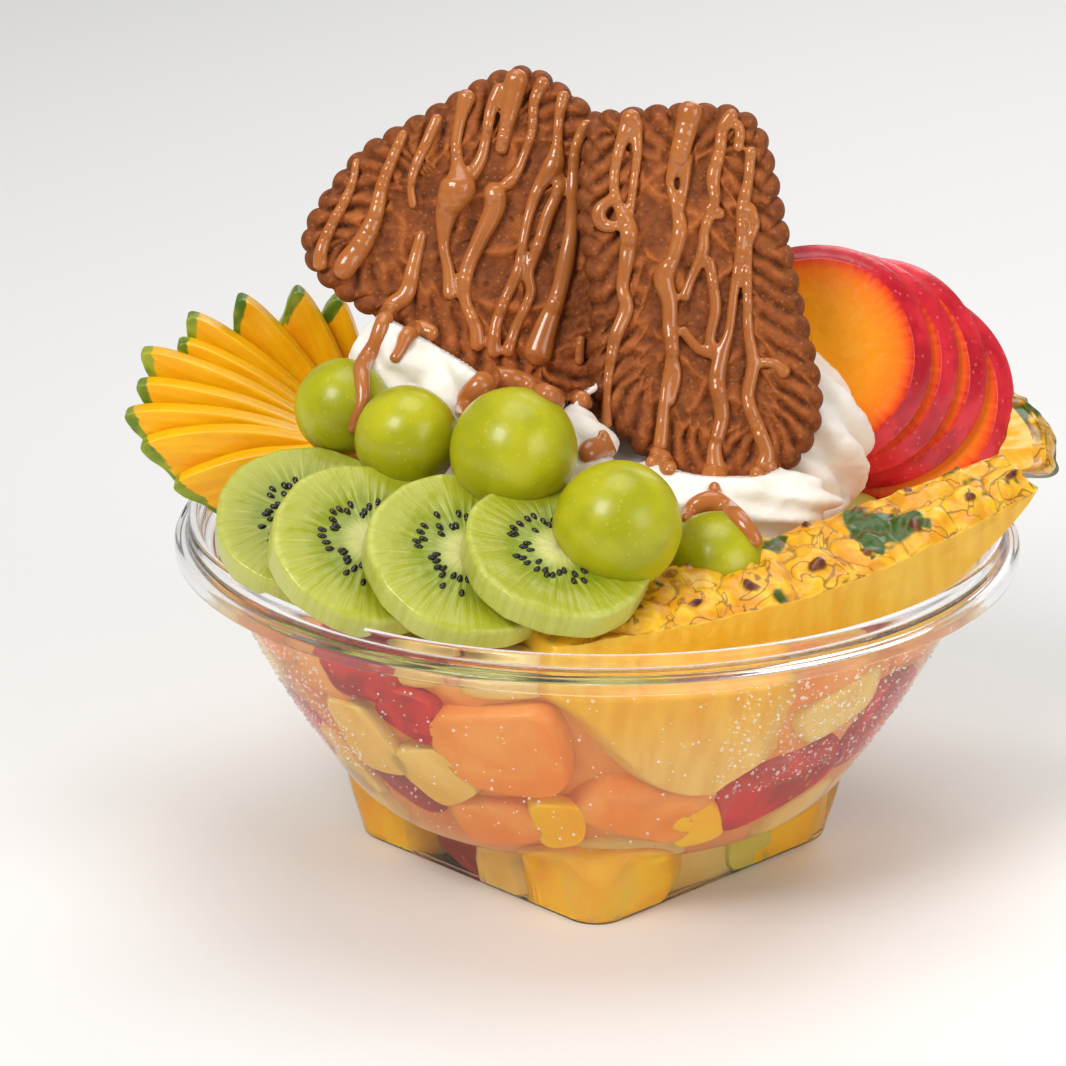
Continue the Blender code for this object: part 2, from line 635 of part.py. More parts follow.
def cream_shapes():
    """The mound under the biscuits, its piped lobes at both sides, and the sauce that lies on it."""
    upward = unit((0.0, -0.1, 1.0))
    return [
        swirl((3, -4, 69.5), (44, 30, 11), upward, 7, 0.05, 7, 26),
        swirl(lean_point(33, 77, 23), (18, 13, 19), unit((0.15, 0.25, 1.0)), 6, 0.09, 7, 21, 2.0),
        swirl(lean_point(-38, 90, 38), (9.5, 8, 11), unit((-0.15, 0.0, 1.0)), 4, 0.12, 5, 12, 2.5),
        swirl(lean_point(-26, 86, 39), (10.5, 8, 11), unit((0.2, 0.0, 1.0)), 4, 0.12, 5, 12, 3.0),
        swirl(lean_point(-10, 74, 47), (13, 9, 11), upward, 4, 0.08, 5, 12),
        swirl((8, 22, 84), (26, 14, 14), upward, 5, 0.1, 5, 15, 3.0),
        swirl(lean_point(-12, 88, 43), (11, 7, 5), upward, 3, 0.05, 4, 10),
    ]


def chunk(turn, height, wide, tall, draw):
    """A cut piece of fruit that lies against the wall, with the turn of its faces drawn at random."""
    radius = cup_wall_radius(turn, height) - WALL - GAP - 0.42 * wide
    turn = math.radians(turn)
    outward = np.array((math.sin(turn), -math.cos(turn), -0.45 if height > 14 else -0.1))
    outward = unit(outward)
    side = unit(np.cross((0, 0, 1.0), outward))
    up = np.cross(outward, side)
    spin = draw.uniform(-0.35, 0.35)
    right = math.cos(spin) * side + math.sin(spin) * up
    above = -math.sin(spin) * side + math.cos(spin) * up
    middle = np.array((radius * math.sin(turn), -radius * math.cos(turn), height))
    half = np.array((0.5 * wide, 0.5 * tall, 0.55 * min(wide, tall)))
    signs = [(-1, -1), (1, -1), (1, 1), (-1, 1)]
    corners = np.array([middle + half[0] * a * right + half[1] * b * above + half[2] * c * outward
                        for c in (-1, 1) for a, b in signs])
    corners[:, 2] += max(0.0, WALL + GAP - corners[:, 2].min())
    inward = np.array((-math.sin(turn), math.cos(turn), 0.0))
    for _ in range(40):
        if all(corner_is_inside(corner) for corner in corners):
            break
        corners += 0.4 * inward
    return box_skin(corners)


def box_skin(corners):
    faces = [(3, 2, 1, 0), (4, 5, 6, 7), (0, 1, 5, 4), (1, 2, 6, 5), (2, 3, 7, 6), (3, 0, 4, 7)]
    return corners, faces


def corner_is_inside(corner):
    turn = math.degrees(math.atan2(corner[0], -corner[1]))
    return math.hypot(corner[0], corner[1]) < cup_wall_radius(turn, corner[2]) - 1.5 * (WALL + GAP)


def cup_wall_radius(turn, height):
    near = math.radians((turn + 45) % 90 - 45)
    profile = np.asarray(WALL_PROFILE)
    round_radius = np.interp(height, profile[:, 1], profile[:, 0], left=0.0)
    return float(max(round_radius, foot_radius(np.array(near), height, 0.0)))


def fruit_shapes():
    """The cut fruit that fills the cup: a core, and the pieces that show fused on round it."""
    draw = random.Random(SEED)
    turns = np.arange(24) * math.pi / 12
    around = np.stack([np.sin(turns), -np.cos(turns), np.zeros(24)], axis=1)
    core = [radius * around + (0, 0, height) for radius, height in CORE_PROFILE]
    shapes = [closed_grid((0, 0, CORE_PROFILE[0][1]), core, (0, 0, CORE_TOP))]
    shapes += [chunk(*piece, draw) for piece in SEEN_FRUIT]
    for height, start, stop, count in UNSEEN_LEVELS:
        step = (stop - start) / count
        for index in range(count):
            turn = start + (index + 0.5) * step + draw.uniform(-2, 2)
            wide = draw.uniform(*UNSEEN_WIDTH)
            level = height + draw.uniform(-1.5, 1.5)
            shapes.append(chunk(turn, level, wide, draw.uniform(*UNSEEN_TALL), draw))
    return shapes


def clear_scene():
    for item in list(bpy.data.objects):
        bpy.data.objects.remove(item)


def main():
    clear_scene()
    tray = Tray()
    tray.place("cup", [cup_shape()], "clear")
    for index, grape in enumerate(GRAPES, 1):
        tray.place(f"grape_{index}", [grape_shape(*grape)], "grape")
    for name, (knots, out, middle, drips, turn) in BISCUITS.items():
        shapes = biscuit_shapes(knots, out, middle, drips, turn)
        tray.place(name, shapes, "biscuit", room=[biscuit_room(knots, out)])
    for index, kiwi in reversed(list(enumerate(KIWI_SLICES, 1))):
        tray.place(f"kiwi_slice_{index}", [kiwi_shape(*kiwi)], "kiwi")
    for index, slice_place in enumerate(STONE_FRUIT_SLICES, 1):
        tray.place(f"stone_fruit_slice_{index}", [stone_fruit_shape(*slice_place)], "stone_fruit")
    tray.place("pineapple_slice_1", [front_pineapple_shape()], "pineapple")
    tray.place("pineapple_slice_2", [side_pineapple_shape()], "pineapple")
    for index, (length, angle) in enumerate(MANGO_SLICES):
        tray.place(f"mango_slice_{index + 1}", [mango_shape(index, length, angle)], "mango")
    tray.place("mango_chunk", [mango_chunk_shape()], "mango")
    tray.place("whipped_cream", cream_shapes(), "cream")
    tray.place("cut_fruit", fruit_shapes(), "fruit")


main()
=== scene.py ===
"""A clear cup of cut fruit with cream and biscuits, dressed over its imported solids.

Sizes are in millimetres until a mesh is made, which is in metres. +Z is up, -Y is the front, and the
origin is the centre of the square foot's underside. The toppings lean back as they stand, so many places
are given on leaning planes as (across, rise, out): across is along X, rise is up the leaning plane, and
out is towards the front of it. The camera looks square at those planes.
"""

import logging
import math
import sys
from dataclasses import dataclass, field
from enum import Enum
from itertools import product

import bpy
import numpy as np
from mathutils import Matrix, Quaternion, Vector
from mathutils.bvhtree import BVHTree


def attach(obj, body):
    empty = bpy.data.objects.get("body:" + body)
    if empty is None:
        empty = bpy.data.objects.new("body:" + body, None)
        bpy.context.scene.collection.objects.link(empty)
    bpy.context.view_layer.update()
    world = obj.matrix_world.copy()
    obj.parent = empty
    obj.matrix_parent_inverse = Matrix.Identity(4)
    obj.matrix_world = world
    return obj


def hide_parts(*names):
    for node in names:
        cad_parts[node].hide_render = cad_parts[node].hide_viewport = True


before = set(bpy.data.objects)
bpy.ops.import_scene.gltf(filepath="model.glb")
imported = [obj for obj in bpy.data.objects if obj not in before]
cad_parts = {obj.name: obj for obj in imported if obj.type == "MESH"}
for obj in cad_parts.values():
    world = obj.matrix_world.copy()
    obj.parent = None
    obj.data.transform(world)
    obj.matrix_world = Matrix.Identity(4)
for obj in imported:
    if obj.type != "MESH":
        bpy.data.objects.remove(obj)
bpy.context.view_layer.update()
LOG = logging.getLogger("fruit_cup")

Array = np.ndarray
Colour = tuple[float, float, float]

MM = 0.001
BODY = "root"
LEAN = math.radians(20.0)
ACROSS = np.array((1.0, 0.0, 0.0))
RISE = np.array((0.0, math.sin(LEAN), math.cos(LEAN)))
OUT = np.array((0.0, -math.cos(LEAN), math.sin(LEAN)))


# Numbers and curves


def unit(vector: Array) -> Array:
    """The vector at length one."""
    vector = np.asarray(vector, float)
    return vector / np.linalg.norm(vector, axis=-1, keepdims=True)


def lean_point(across: Array, rise: Array, out: Array) -> Array:
    """World places of points that are given on the leaning planes."""
    across, rise, out = np.broadcast_arrays(across, rise, out)
    return across[..., None] * ACROSS + rise[..., None] * RISE + out[..., None] * OUT


def lean_direction(tilt: float, turn: float) -> Array:
    """The way a face looks that is tilted up from the leaning plane and turned right, in degrees."""
    tilt, turn = math.radians(tilt), math.radians(turn)
    forward = math.cos(tilt) * OUT + math.sin(tilt) * RISE
    return unit(math.cos(turn) * forward + math.sin(turn) * ACROSS)


def ease(value: Array, low: float, high: float) -> Array:
    """0 below low and 1 above high, with the cubic 3t^2 - 2t^3 between them."""
    t = np.clip((np.asarray(value, float) - low) / (high - low), 0.0, 1.0)
    return t * t * (3.0 - 2.0 * t)


def ridge(value: Array, width: float) -> Array:
    """A bell of height one at zero: exp of minus (value / width) squared."""
    return np.exp(-((value / width) ** 2))


def smooth_curve(points: Array, count: int, closed: bool = False) -> Array:
    """Points along a Catmull-Rom curve through the given ones, evenly spread along its length.

    Args:
        points: the points that the curve passes, one per row.
        count: how many points come back.
        closed: whether the curve runs back to its start.

    Returns:
        An array of count rows.
    """
    knots = np.asarray(points, float)
    total = len(knots)
    spans = total if closed else total - 1
    at = np.linspace(0.0, spans, 24 * spans + 1)
    first = np.minimum(at.astype(int), spans - 1)
    share = (at - first)[:, None]
    index = first[:, None] + np.arange(-1, 3)
    index = index % total if closed else np.clip(index, 0, total - 1)
    a, b, c, d = (knots[index[:, k]] for k in range(4))
    fine = 0.5 * (
        2 * b + (c - a) * share + (2 * a - 5 * b + 4 * c - d) * share**2 + (3 * b - a - 3 * c + d) * share**3
    )
    reach = np.concatenate([[0.0], np.cumsum(np.linalg.norm(np.diff(fine, axis=0), axis=1))])
    stops = np.linspace(0.0, reach[-1], count, endpoint=not closed)
    return np.stack([np.interp(stops, reach, column) for column in fine.T], axis=1)


def rough(points: Array, size: float, seed: int = 0, octaves: int = 2) -> Array:
    """Smooth random bumps, from about -1 to 1.

    Each cell corner of a cubic lattice has a random value, and a point takes the eased mean of the eight
    round it. Each octave is half as large and half as high as the one before.

    Args:
        points: places, three numbers in the last axis.
        size: the first lattice's spacing.
        seed: which random values.
        octaves: how many lattices are added.

    Returns:
        One value for each point.
    """
    spots = np.asarray(points, float) / size
    total = np.zeros(spots.shape[:-1])
    for octave in range(octaves):
        scaled = spots * 2.0**octave + 17.3 * octave
        cell = np.floor(scaled).astype(np.int64)
        part = scaled - cell
        part = part * part * (3.0 - 2.0 * part)
        for corner in product((0, 1), repeat=3):
            key = ((cell + np.array(corner)) * np.array((374761393, 668265263, 2147483629))).sum(axis=-1)
            key = (key + 9973 * seed + 131 * octave) & 0xFFFFFFFF
            key = ((key ^ (key >> 13)) * 1274126177) & 0xFFFFFFFF
            value = ((key ^ (key >> 16)) & 0xFFFF) / 32767.5 - 1.0
            total = total + 0.5**octave * value * np.where(corner, part, 1.0 - part).prod(axis=-1)
    return total


# Skins and pieces


@dataclass
class Skin:
    """A closed surface, with two sets of three numbers kept at each point for its finish to read."""

    points: Array
    quads: Array
    fans: Array
    own: Array
    tone: Array

    def volume(self) -> float:
        """Six times the enclosed volume, which is negative where the faces point inwards."""
        p, q, f = self.points, self.quads, self.fans
        total = 0.0
        halves = (q[:, 0], q[:, 1], q[:, 2]), (q[:, 0], q[:, 2], q[:, 3])
        for a, b, c in (*halves, (f[:, 0], f[:, 1], f[:, 2])):
            total += float(np.einsum("ij,ij->", p[a], np.cross(p[b], p[c])))
        return total


def closed_skin(rings: Array, first: Array, last: Array, own: Array = None, tone: Array = None) -> Skin:
    """The surface of a stack of rings, closed by a fan of triangles to a pole at each end.

    Args:
        rings: places by ring and by step round it.
        first: the pole before the first ring.
        last: the pole after the last ring.
        own: the finish's own coordinates of the rings' points, or the places themselves.
        tone: the finish's masks at the rings' points, or none.

    Returns:
        The skin, with its faces pointing out.
    """
    count, around, _ = rings.shape
    own = rings if own is None else own
    tone = np.zeros_like(rings) if tone is None else tone

    def with_poles(values: Array, ends: tuple) -> Array:
        return np.concatenate([[ends[0]], values.reshape(-1, 3), [ends[1]]])

    steps = np.arange(around)
    nexts = (steps + 1) % around
    base = 1 + np.arange(count - 1)[:, None] * around
    quads = np.stack([base + steps, base + nexts, base + around + nexts, base + around + steps], axis=-1)
    top, pole = 1 + (count - 1) * around, 1 + count * around
    fans = np.concatenate([
        np.stack([np.zeros_like(steps), 1 + nexts, 1 + steps], axis=1),
        np.stack([np.full_like(steps, pole), top + steps, top + nexts], axis=1),
    ])
    made = Skin(
        with_poles(rings, (first, last)), quads.reshape(-1, 4), fans,
        with_poles(own, (own[0].mean(axis=0), own[-1].mean(axis=0))),
        with_poles(tone, (tone[0].mean(axis=0), tone[-1].mean(axis=0))),
    )
    if made.volume() < 0:
        made.quads, made.fans = made.quads[:, ::-1], made.fans[:, ::-1]
    return made


def joined(skins: list[Skin]) -> Skin:
    """Several skins as one, their faces counted on."""
    starts = np.concatenate([[0], np.cumsum([len(skin.points) for skin in skins])[:-1]])
    return Skin(
        np.concatenate([skin.points for skin in skins]),
        np.concatenate([skin.quads + start for skin, start in zip(skins, starts)]),
        np.concatenate([skin.fans + start for skin, start in zip(skins, starts)]),
        np.concatenate([skin.own for skin in skins]),
        np.concatenate([skin.tone for skin in skins]),
    )


def mesh_of(name: str, skin: Skin) -> bpy.types.Mesh:
    """The skin as a mesh in metres, with its own coordinates and masks as attributes."""
    mesh = bpy.data.meshes.new(name)
    mesh.from_pydata((skin.points * MM).tolist(), [], skin.quads.tolist() + skin.fans.tolist())
    for label, values in (("own", skin.own), ("tone", skin.tone)):
        layer = mesh.attributes.new(label, "FLOAT_VECTOR", "POINT")
        layer.data.foreach_set("vector", values.astype(np.float32).ravel())
    mesh.shade_smooth()
    return mesh


def make_piece(
    name: str, skins: list[Skin], finish: "Finish", nodes: tuple[str, ...] = ()
) -> bpy.types.Object:
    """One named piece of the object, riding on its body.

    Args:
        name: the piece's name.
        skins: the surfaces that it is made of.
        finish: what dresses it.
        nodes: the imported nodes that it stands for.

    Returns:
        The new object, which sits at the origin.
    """
    mesh = mesh_of(name, joined(skins))
    mesh.materials.append(finish.material())
    piece = bpy.data.objects.new(name, mesh)
    bpy.context.scene.collection.objects.link(piece)
    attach(piece, BODY)
    if nodes:
        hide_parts(*nodes)
    LOG.info("%s: %d points", name, len(mesh.vertices))
    return piece


def fused(skins: list[Skin], voxel: float, rounds: int) -> Skin:
    """The skins run together into one surface, as thick sauce or cream does.

    Args:
        skins: closed surfaces that overlap.
        voxel: the size of the steps that they are rebuilt with.
        rounds: how many times the new surface is smoothed.

    Returns:
        The fused skin.
    """
    mesh = mesh_of("to_fuse", joined(skins))
    thing = bpy.data.objects.new("to_fuse", mesh)
    bpy.context.scene.collection.objects.link(thing)
    remesh = thing.modifiers.new("fuse", "REMESH")
    remesh.mode, remesh.voxel_size = "VOXEL", voxel * MM
    smooth = thing.modifiers.new("soften", "SMOOTH")
    smooth.factor, smooth.iterations = 0.5, rounds
    graph = bpy.context.evaluated_depsgraph_get()
    made = bpy.data.meshes.new_from_object(thing.evaluated_get(graph))
    points = np.empty(len(made.vertices) * 3, np.float32)
    made.vertices.foreach_get("co", points)
    corners = np.empty(len(made.loops), np.int32)
    made.loops.foreach_get("vertex_index", corners)
    points = points.reshape(-1, 3).astype(float) / MM
    bpy.data.objects.remove(thing)
    for old in (mesh, made):
        bpy.data.meshes.remove(old)
    return Skin(points, corners.reshape(-1, 4), np.zeros((0, 3), int), points, np.zeros_like(points))


def point_normals(skin: Skin) -> Array:
    """The mean way that the faces round each point look."""
    corners = skin.points[skin.quads]
    across = np.cross(corners[:, 2] - corners[:, 0], corners[:, 3] - corners[:, 1])
    total = np.zeros_like(skin.points)
    for k in range(4):
        np.add.at(total, skin.quads[:, k], across)
    return total / np.maximum(np.linalg.norm(total, axis=1, keepdims=True), 1e-9)


def ball(levels: int, around: int) -> Array:
    """The ways that the points of a ball look, ring by ring, its two poles left out."""
    polar = np.linspace(0.0, math.pi, levels + 2)[1:-1, None]
    turn = np.linspace(0.0, 2.0 * math.pi, around, endpoint=False)[None, :]
    return np.stack(np.broadcast_arrays(
        np.sin(polar) * np.cos(turn), np.sin(polar) * np.sin(turn), np.cos(polar)), axis=-1)


def disc_frame(facing: Array) -> tuple[Array, Array]:
    """The right and up directions of a flat thing that looks the given way."""
    right = unit(np.cross((0.0, 0.0, 1.0), facing))
    return right, np.cross(facing, right)


def tube(line: Array, radii: Array, side: Array, over: Array, flat: float, sides: int = 12) -> Skin:
    """A round-ended tube along a line: each ring is radius times (cos t across, flat sin t over).

    Args:
        line: the points that it follows.
        radii: its half width at each of them.
        side: the direction across it at each point.
        over: the direction over it at each point.
        flat: how high it is for its width.
        sides: how many steps round it.

    Returns:
        The closed skin.
    """
    steps = np.linalg.norm(np.diff(line, axis=0), axis=1)
    reach = np.concatenate([[0.0], np.cumsum(steps)])
    ends = np.minimum(reach, reach[-1] - reach) / np.maximum(radii, 1e-6)
    radii = radii * np.sqrt(np.clip(1.0 - (1.0 - np.clip(ends, 0.0, 1.0)) ** 2, 0.01, 1.0))
    turns = np.arange(sides) * 2.0 * math.pi / sides
    wave = np.cos(turns)[None, :, None] * side[:, None] + flat * np.sin(turns)[None, :, None] * over[:, None]
    return closed_skin(line[:, None] + radii[:, None, None] * wave, line[0], line[-1])


def plate_rings(outline: Array, thickness: float, edge: float, rings: int) -> tuple[Array, Array, Array]:
    """A flat slice with rounded edges, as rings from the middle of its front to the middle of its back.

    On a face, a ring is the outline drawn in towards its middle. Round the edge it is the outline inset by
    edge (1 - sin t) at a depth of edge (1 - cos t).

    Args:
        outline: the closed outline in its own plane.
        thickness: from the front face to the back one.
        edge: the radius of the rounded edges.
        rings: how many rings each face has.

    Returns:
        The rings' places in the plane, their depths, and 0 on the faces to 1 at the rim.
    """
    middle = outline.mean(axis=0)
    arm = outline - middle
    reach = np.linalg.norm(arm, axis=1)
    face = np.linspace(0.06, 1.0, rings, endpoint=False)
    turn = np.linspace(0.0, math.pi / 2, 5)
    inset = np.concatenate([np.full(rings, edge), edge * (1 - np.sin(turn))])
    depth = np.concatenate([np.zeros(rings), edge * (1 - np.cos(turn))])
    scale = np.concatenate([face, np.ones(len(turn))])
    rim = np.concatenate([np.zeros(rings), np.sin(turn)])
    side = np.linspace(edge, thickness - edge, 5)[1:-1]
    inset = np.concatenate([inset, np.zeros(len(side)), inset[::-1]])
    depth = np.concatenate([depth, side, thickness - depth[::-1]])
    scale = np.concatenate([scale, np.ones(len(side)), scale[::-1]])
    rim = np.concatenate([rim, np.ones(len(side)), rim[::-1]])
    shape = middle + arm * (scale[:, None, None] * (1.0 - inset[:, None] / reach)[..., None])
    return shape, depth, rim


def with_depth(shape: Array, depth: Array) -> Array:
    """The rings' places in their plane, with each ring's depth as a third number."""
    deep = np.broadcast_to(depth[:, None], shape.shape[:2])
    return np.concatenate([shape, deep[..., None]], axis=-1)


# Shader building


def tint(red: float, green: float, blue: float) -> tuple[float, float, float, float]:
    """A colour from its 0 to 255 screen values, as the linear values that a shader takes."""
    screen = np.array((red, green, blue)) / 255.0
    linear = np.where(screen <= 0.04045, screen / 12.92, ((screen + 0.055) / 1.055) ** 2.4)
    return (*(float(part) for part in linear), 1.0)


class Sheet:
    """A node tree that is being filled."""

    def __init__(self, tree: bpy.types.NodeTree) -> None:
        """Keeps the tree."""
        self.tree = tree

    def add(self, kind: str, feeds: dict = None, **settings: object) -> bpy.types.Node:
        """Adds a node.

        Args:
            kind: the node's type, without its common first word.
            feeds: what each input gets, a socket or a plain value, by name or number.
            settings: the node's own properties.

        Returns:
            The node.
        """
        node = self.tree.nodes.new(kind if kind.startswith("Node") else "ShaderNode" + kind)
        for key, value in settings.items():
            setattr(node, key, value)
        for key, value in (feeds or {}).items():
            if isinstance(value, bpy.types.NodeSocket):
                self.tree.links.new(value, node.inputs[key])
            else:
                node.inputs[key].default_value = value
        return node

    def math(self, operation: str, first: object, second: object = 0.0) -> bpy.types.NodeSocket:
        """The result of one sum."""
        return self.add("Math", {0: first, 1: second}, operation=operation).outputs[0]

    def mix(self, share: object, first: object, second: object, blend: str = "MIX") -> bpy.types.NodeSocket:
        """Two colours mixed by a share."""
        return self.add("Mix", {0: share, 6: first, 7: second}, data_type="RGBA", blend_type=blend).outputs[2]

    def band(self, value: object, low: float, high: float) -> bpy.types.NodeSocket:
        """0 below low, 1 above high, eased between."""
        feeds = {"Value": value, "From Min": low, "From Max": high}
        return self.add("MapRange", feeds, interpolation_type="SMOOTHSTEP").outputs[0]

    def ramp(self, value: object, stops: tuple) -> bpy.types.NodeSocket:
        """A colour that changes with the value: stops are (place, colour)."""
        node = self.add("ValToRGB", {"Fac": value})
        points = node.color_ramp.elements
        while len(points) < len(stops):
            points.new(0.5)
        for point, (place, colour) in zip(points, stops):
            point.position, point.color = place, colour
        return node.outputs[0]

    def noise(
        self, place: object, scale: float, detail: float = 3.0, warp: float = 0.0
    ) -> bpy.types.NodeSocket:
        """A cloudy value from 0 to 1."""
        feeds = {"Vector": place, "Scale": scale, "Detail": detail, "Distortion": warp}
        return self.add("TexNoise", feeds).outputs[0]

    def place(self) -> bpy.types.NodeSocket:
        """Object coordinates, in metres."""
        return self.add("TexCoord").outputs["Object"]

    def kept(self, label: str) -> bpy.types.NodeSocket:
        """The three numbers that the mesh keeps under a label."""
        return self.add("Attribute", attribute_name=label).outputs["Vector"]

    def parts(self, vector: object) -> list[bpy.types.NodeSocket]:
        """A vector's three numbers."""
        return list(self.add("SeparateXYZ", {0: vector}).outputs)

    def scaled(self, vector: object, by: tuple[float, float, float]) -> bpy.types.NodeSocket:
        """A vector with each part multiplied."""
        return self.add("VectorMath", {0: vector, 1: by}, operation="MULTIPLY").outputs[0]


class Effect(Enum):
    """The effects that several finishes share, each a node group."""

    MOTTLE = "Mottle"
    DOTS = "Dots"
    GRAIN = "Grain"
    RAYS = "Rays"


GROUP_SOCKETS = {
    Effect.MOTTLE: ((("Place", "Vector"), ("Scale", "Float"), ("Light", "Color"), ("Dark", "Color")),
                    (("Colour", "Color"), ("Value", "Float"))),
    Effect.DOTS: ((("Place", "Vector"), ("Scale", "Float"), ("Size", "Float")), (("Mask", "Float"),)),
    Effect.GRAIN: ((("Place", "Vector"), ("Scale", "Float"), ("Coarse", "Float")), (("Height", "Float"),)),
    Effect.RAYS: ((("Place", "Vector"), ("Fineness", "Float")), (("Value", "Float"),)),
}


def fill_effect(effect: Effect, sheet: Sheet, given: dict) -> dict:
    """Builds the inside of one effect.

    Mottle mixes two colours by cloudy noise. Dots are round spots at the middles of random cells. Grain is
    noise with finer cells over it. Rays are streaks that run out from the middle of the x and y plane.

    Args:
        effect: which one.
        sheet: the group's tree.
        given: the group's input sockets by name.

    Returns:
        The group's output sockets by name.
    """
    place = given["Place"]
    if effect is Effect.MOTTLE:
        value = sheet.band(sheet.noise(place, given["Scale"], 4.0, 0.4), 0.32, 0.68)
        return {"Colour": sheet.mix(value, given["Dark"], given["Light"]), "Value": value}
    if effect is Effect.DOTS:
        cells = sheet.add("TexVoronoi", {"Vector": place, "Scale": given["Scale"], "Randomness": 1.0})
        near = sheet.math("DIVIDE", cells.outputs["Distance"], given["Size"])
        return {"Mask": sheet.math("SUBTRACT", 1.0, sheet.band(near, 0.6, 1.0))}
    if effect is Effect.GRAIN:
        cloud = sheet.noise(place, given["Scale"], 6.0)
        cells = sheet.add("TexVoronoi", {"Vector": place, "Scale": given["Coarse"]}).outputs["Distance"]
        return {"Height": sheet.math("ADD", cloud, sheet.math("MULTIPLY", cells, 0.5))}
    flat = sheet.scaled(place, (1.0, 1.0, 0.0))
    way = sheet.add("VectorMath", {0: flat}, operation="NORMALIZE").outputs[0]
    fine = sheet.add("VectorMath", {0: way, "Scale": given["Fineness"]}, operation="SCALE").outputs[0]
    spread = sheet.add("VectorMath", {0: fine, 1: sheet.scaled(place, (1.2, 1.2, 1.2))}, operation="ADD")
    return {"Value": sheet.noise(spread.outputs[0], 1.0, 3.0)}


def effect_group(effect: Effect) -> bpy.types.NodeTree:
    """The effect's node group, built the first time that it is asked for."""
    tree = bpy.data.node_groups.get(effect.value)
    if tree:
        return tree
    tree = bpy.data.node_groups.new(effect.value, "ShaderNodeTree")
    takes, gives = GROUP_SOCKETS[effect]
    for side, sockets in (("INPUT", takes), ("OUTPUT", gives)):
        for label, kind in sockets:
            tree.interface.new_socket(name=label, in_out=side, socket_type="NodeSocket" + kind)
    sheet = Sheet(tree)
    given = {label: sheet.tree.nodes.new("NodeGroupInput").outputs[label] for label, _ in takes}
    sheet.add("NodeGroupOutput", fill_effect(effect, sheet, given))
    return tree


@dataclass(frozen=True)
class Finish:
    """A finish: the constants of its shader, and a paint method for what changes over the surface."""

    slot: str = "cut_fruit"
    label: str = "finish"
    roughness: float = 0.35
    coat: float = 0.3
    coat_roughness: float = 0.12
    glow: float = 0.25
    glow_reach: Colour = (1.0, 0.6, 0.3)
    glow_depth: float = 2.5
    relief: float = 0.15
    gloss: float = 0.35

    def use(self, sheet: Sheet, effect: Effect, **feeds: object) -> bpy.types.Node:
        """Places a shared effect with this finish's own values."""
        node = sheet.add("Group", node_tree=effect_group(effect))
        for label, value in feeds.items():
            socket = node.inputs[label]
            if isinstance(value, bpy.types.NodeSocket):
                sheet.tree.links.new(value, socket)
            else:
                socket.default_value = value
        return node

    def clouded(self, sheet: Sheet, scale: float, light: Colour, dark: Colour) -> bpy.types.NodeSocket:
        """Two colours, in 0 to 255 screen values, clouded over the surface."""
        feeds = {"Place": sheet.place(), "Scale": scale, "Light": tint(*light), "Dark": tint(*dark)}
        return self.use(sheet, Effect.MOTTLE, **feeds).outputs["Colour"]

    def dotted(self, sheet: Sheet, scale: float, size: float, share: float) -> bpy.types.NodeSocket:
        """Small round spots, as a mask that reaches a share of one."""
        dots = self.use(sheet, Effect.DOTS, Place=sheet.place(), Scale=scale, Size=size)
        return sheet.math("MULTIPLY", dots.outputs["Mask"], share)

    def grained(self, sheet: Sheet, scale: float, coarse: float) -> bpy.types.NodeSocket:
        """The height of fine wet grain."""
        grain = self.use(sheet, Effect.GRAIN, Place=sheet.place(), Scale=scale, Coarse=coarse)
        return grain.outputs["Height"]

    def paint(self, sheet: Sheet) -> dict:
        """What changes over the surface: its colour, and a height in millimetres for its finest relief."""
        return {"colour": tint(200, 200, 200), "height": None}

    def material(self) -> bpy.types.Material:
        """The finish as a material, made once."""
        made = bpy.data.materials.get(self.label)
        if made:
            return made
        made = bpy.data.materials.new(self.label)
        made.use_nodes = True
        made.node_tree.nodes.clear()
        sheet = Sheet(made.node_tree)
        painted = self.paint(sheet)
        feeds = {
            "Base Color": painted["colour"],
            "Roughness": self.roughness,
            "Specular IOR Level": self.gloss,
            "Coat Weight": self.coat,
            "Coat Roughness": self.coat_roughness,
            "Subsurface Weight": self.glow,
            "Subsurface Radius": self.glow_reach,
            "Subsurface Scale": self.glow_depth * MM,
        }
        if painted.get("height") is not None:
            settings = {"Height": painted["height"], "Strength": 1.0, "Distance": self.relief * MM}
            feeds["Normal"] = sheet.add("Bump", settings).outputs[0]
        shader = sheet.add("BsdfPrincipled", feeds)
        sheet.add("OutputMaterial", {"Surface": shader.outputs[0]})
        return made


@dataclass(frozen=True)
class ClearFinish(Finish):
    """Clear plastic, juice or water, which lets soft light through to what is behind it."""

    tone: Colour = (255, 255, 255)
    bends: float = 1.46
    clear: float = 1.0

    def material(self) -> bpy.types.Material:
        """A clear shader that neither shadow rays nor scattered light see."""
        made = bpy.data.materials.get(self.label)
        if made:
            return made
        made = bpy.data.materials.new(self.label)
        made.use_nodes = True
        made.node_tree.nodes.clear()
        sheet = Sheet(made.node_tree)
        clear = sheet.add("BsdfPrincipled", {
            "Base Color": tint(*self.tone), "Roughness": self.roughness, "IOR": self.bends,
            "Transmission Weight": self.clear,
        })
        ray = sheet.add("LightPath").outputs
        hidden = sheet.math("MAXIMUM", ray["Is Shadow Ray"], ray["Is Diffuse Ray"])
        through = sheet.add("BsdfTransparent", {"Color": tint(*self.tone)})
        both = sheet.add("MixShader", {0: hidden, 1: clear.outputs[0], 2: through.outputs[0]})
        sheet.add("OutputMaterial", {"Surface": both.outputs[0]})
        return made


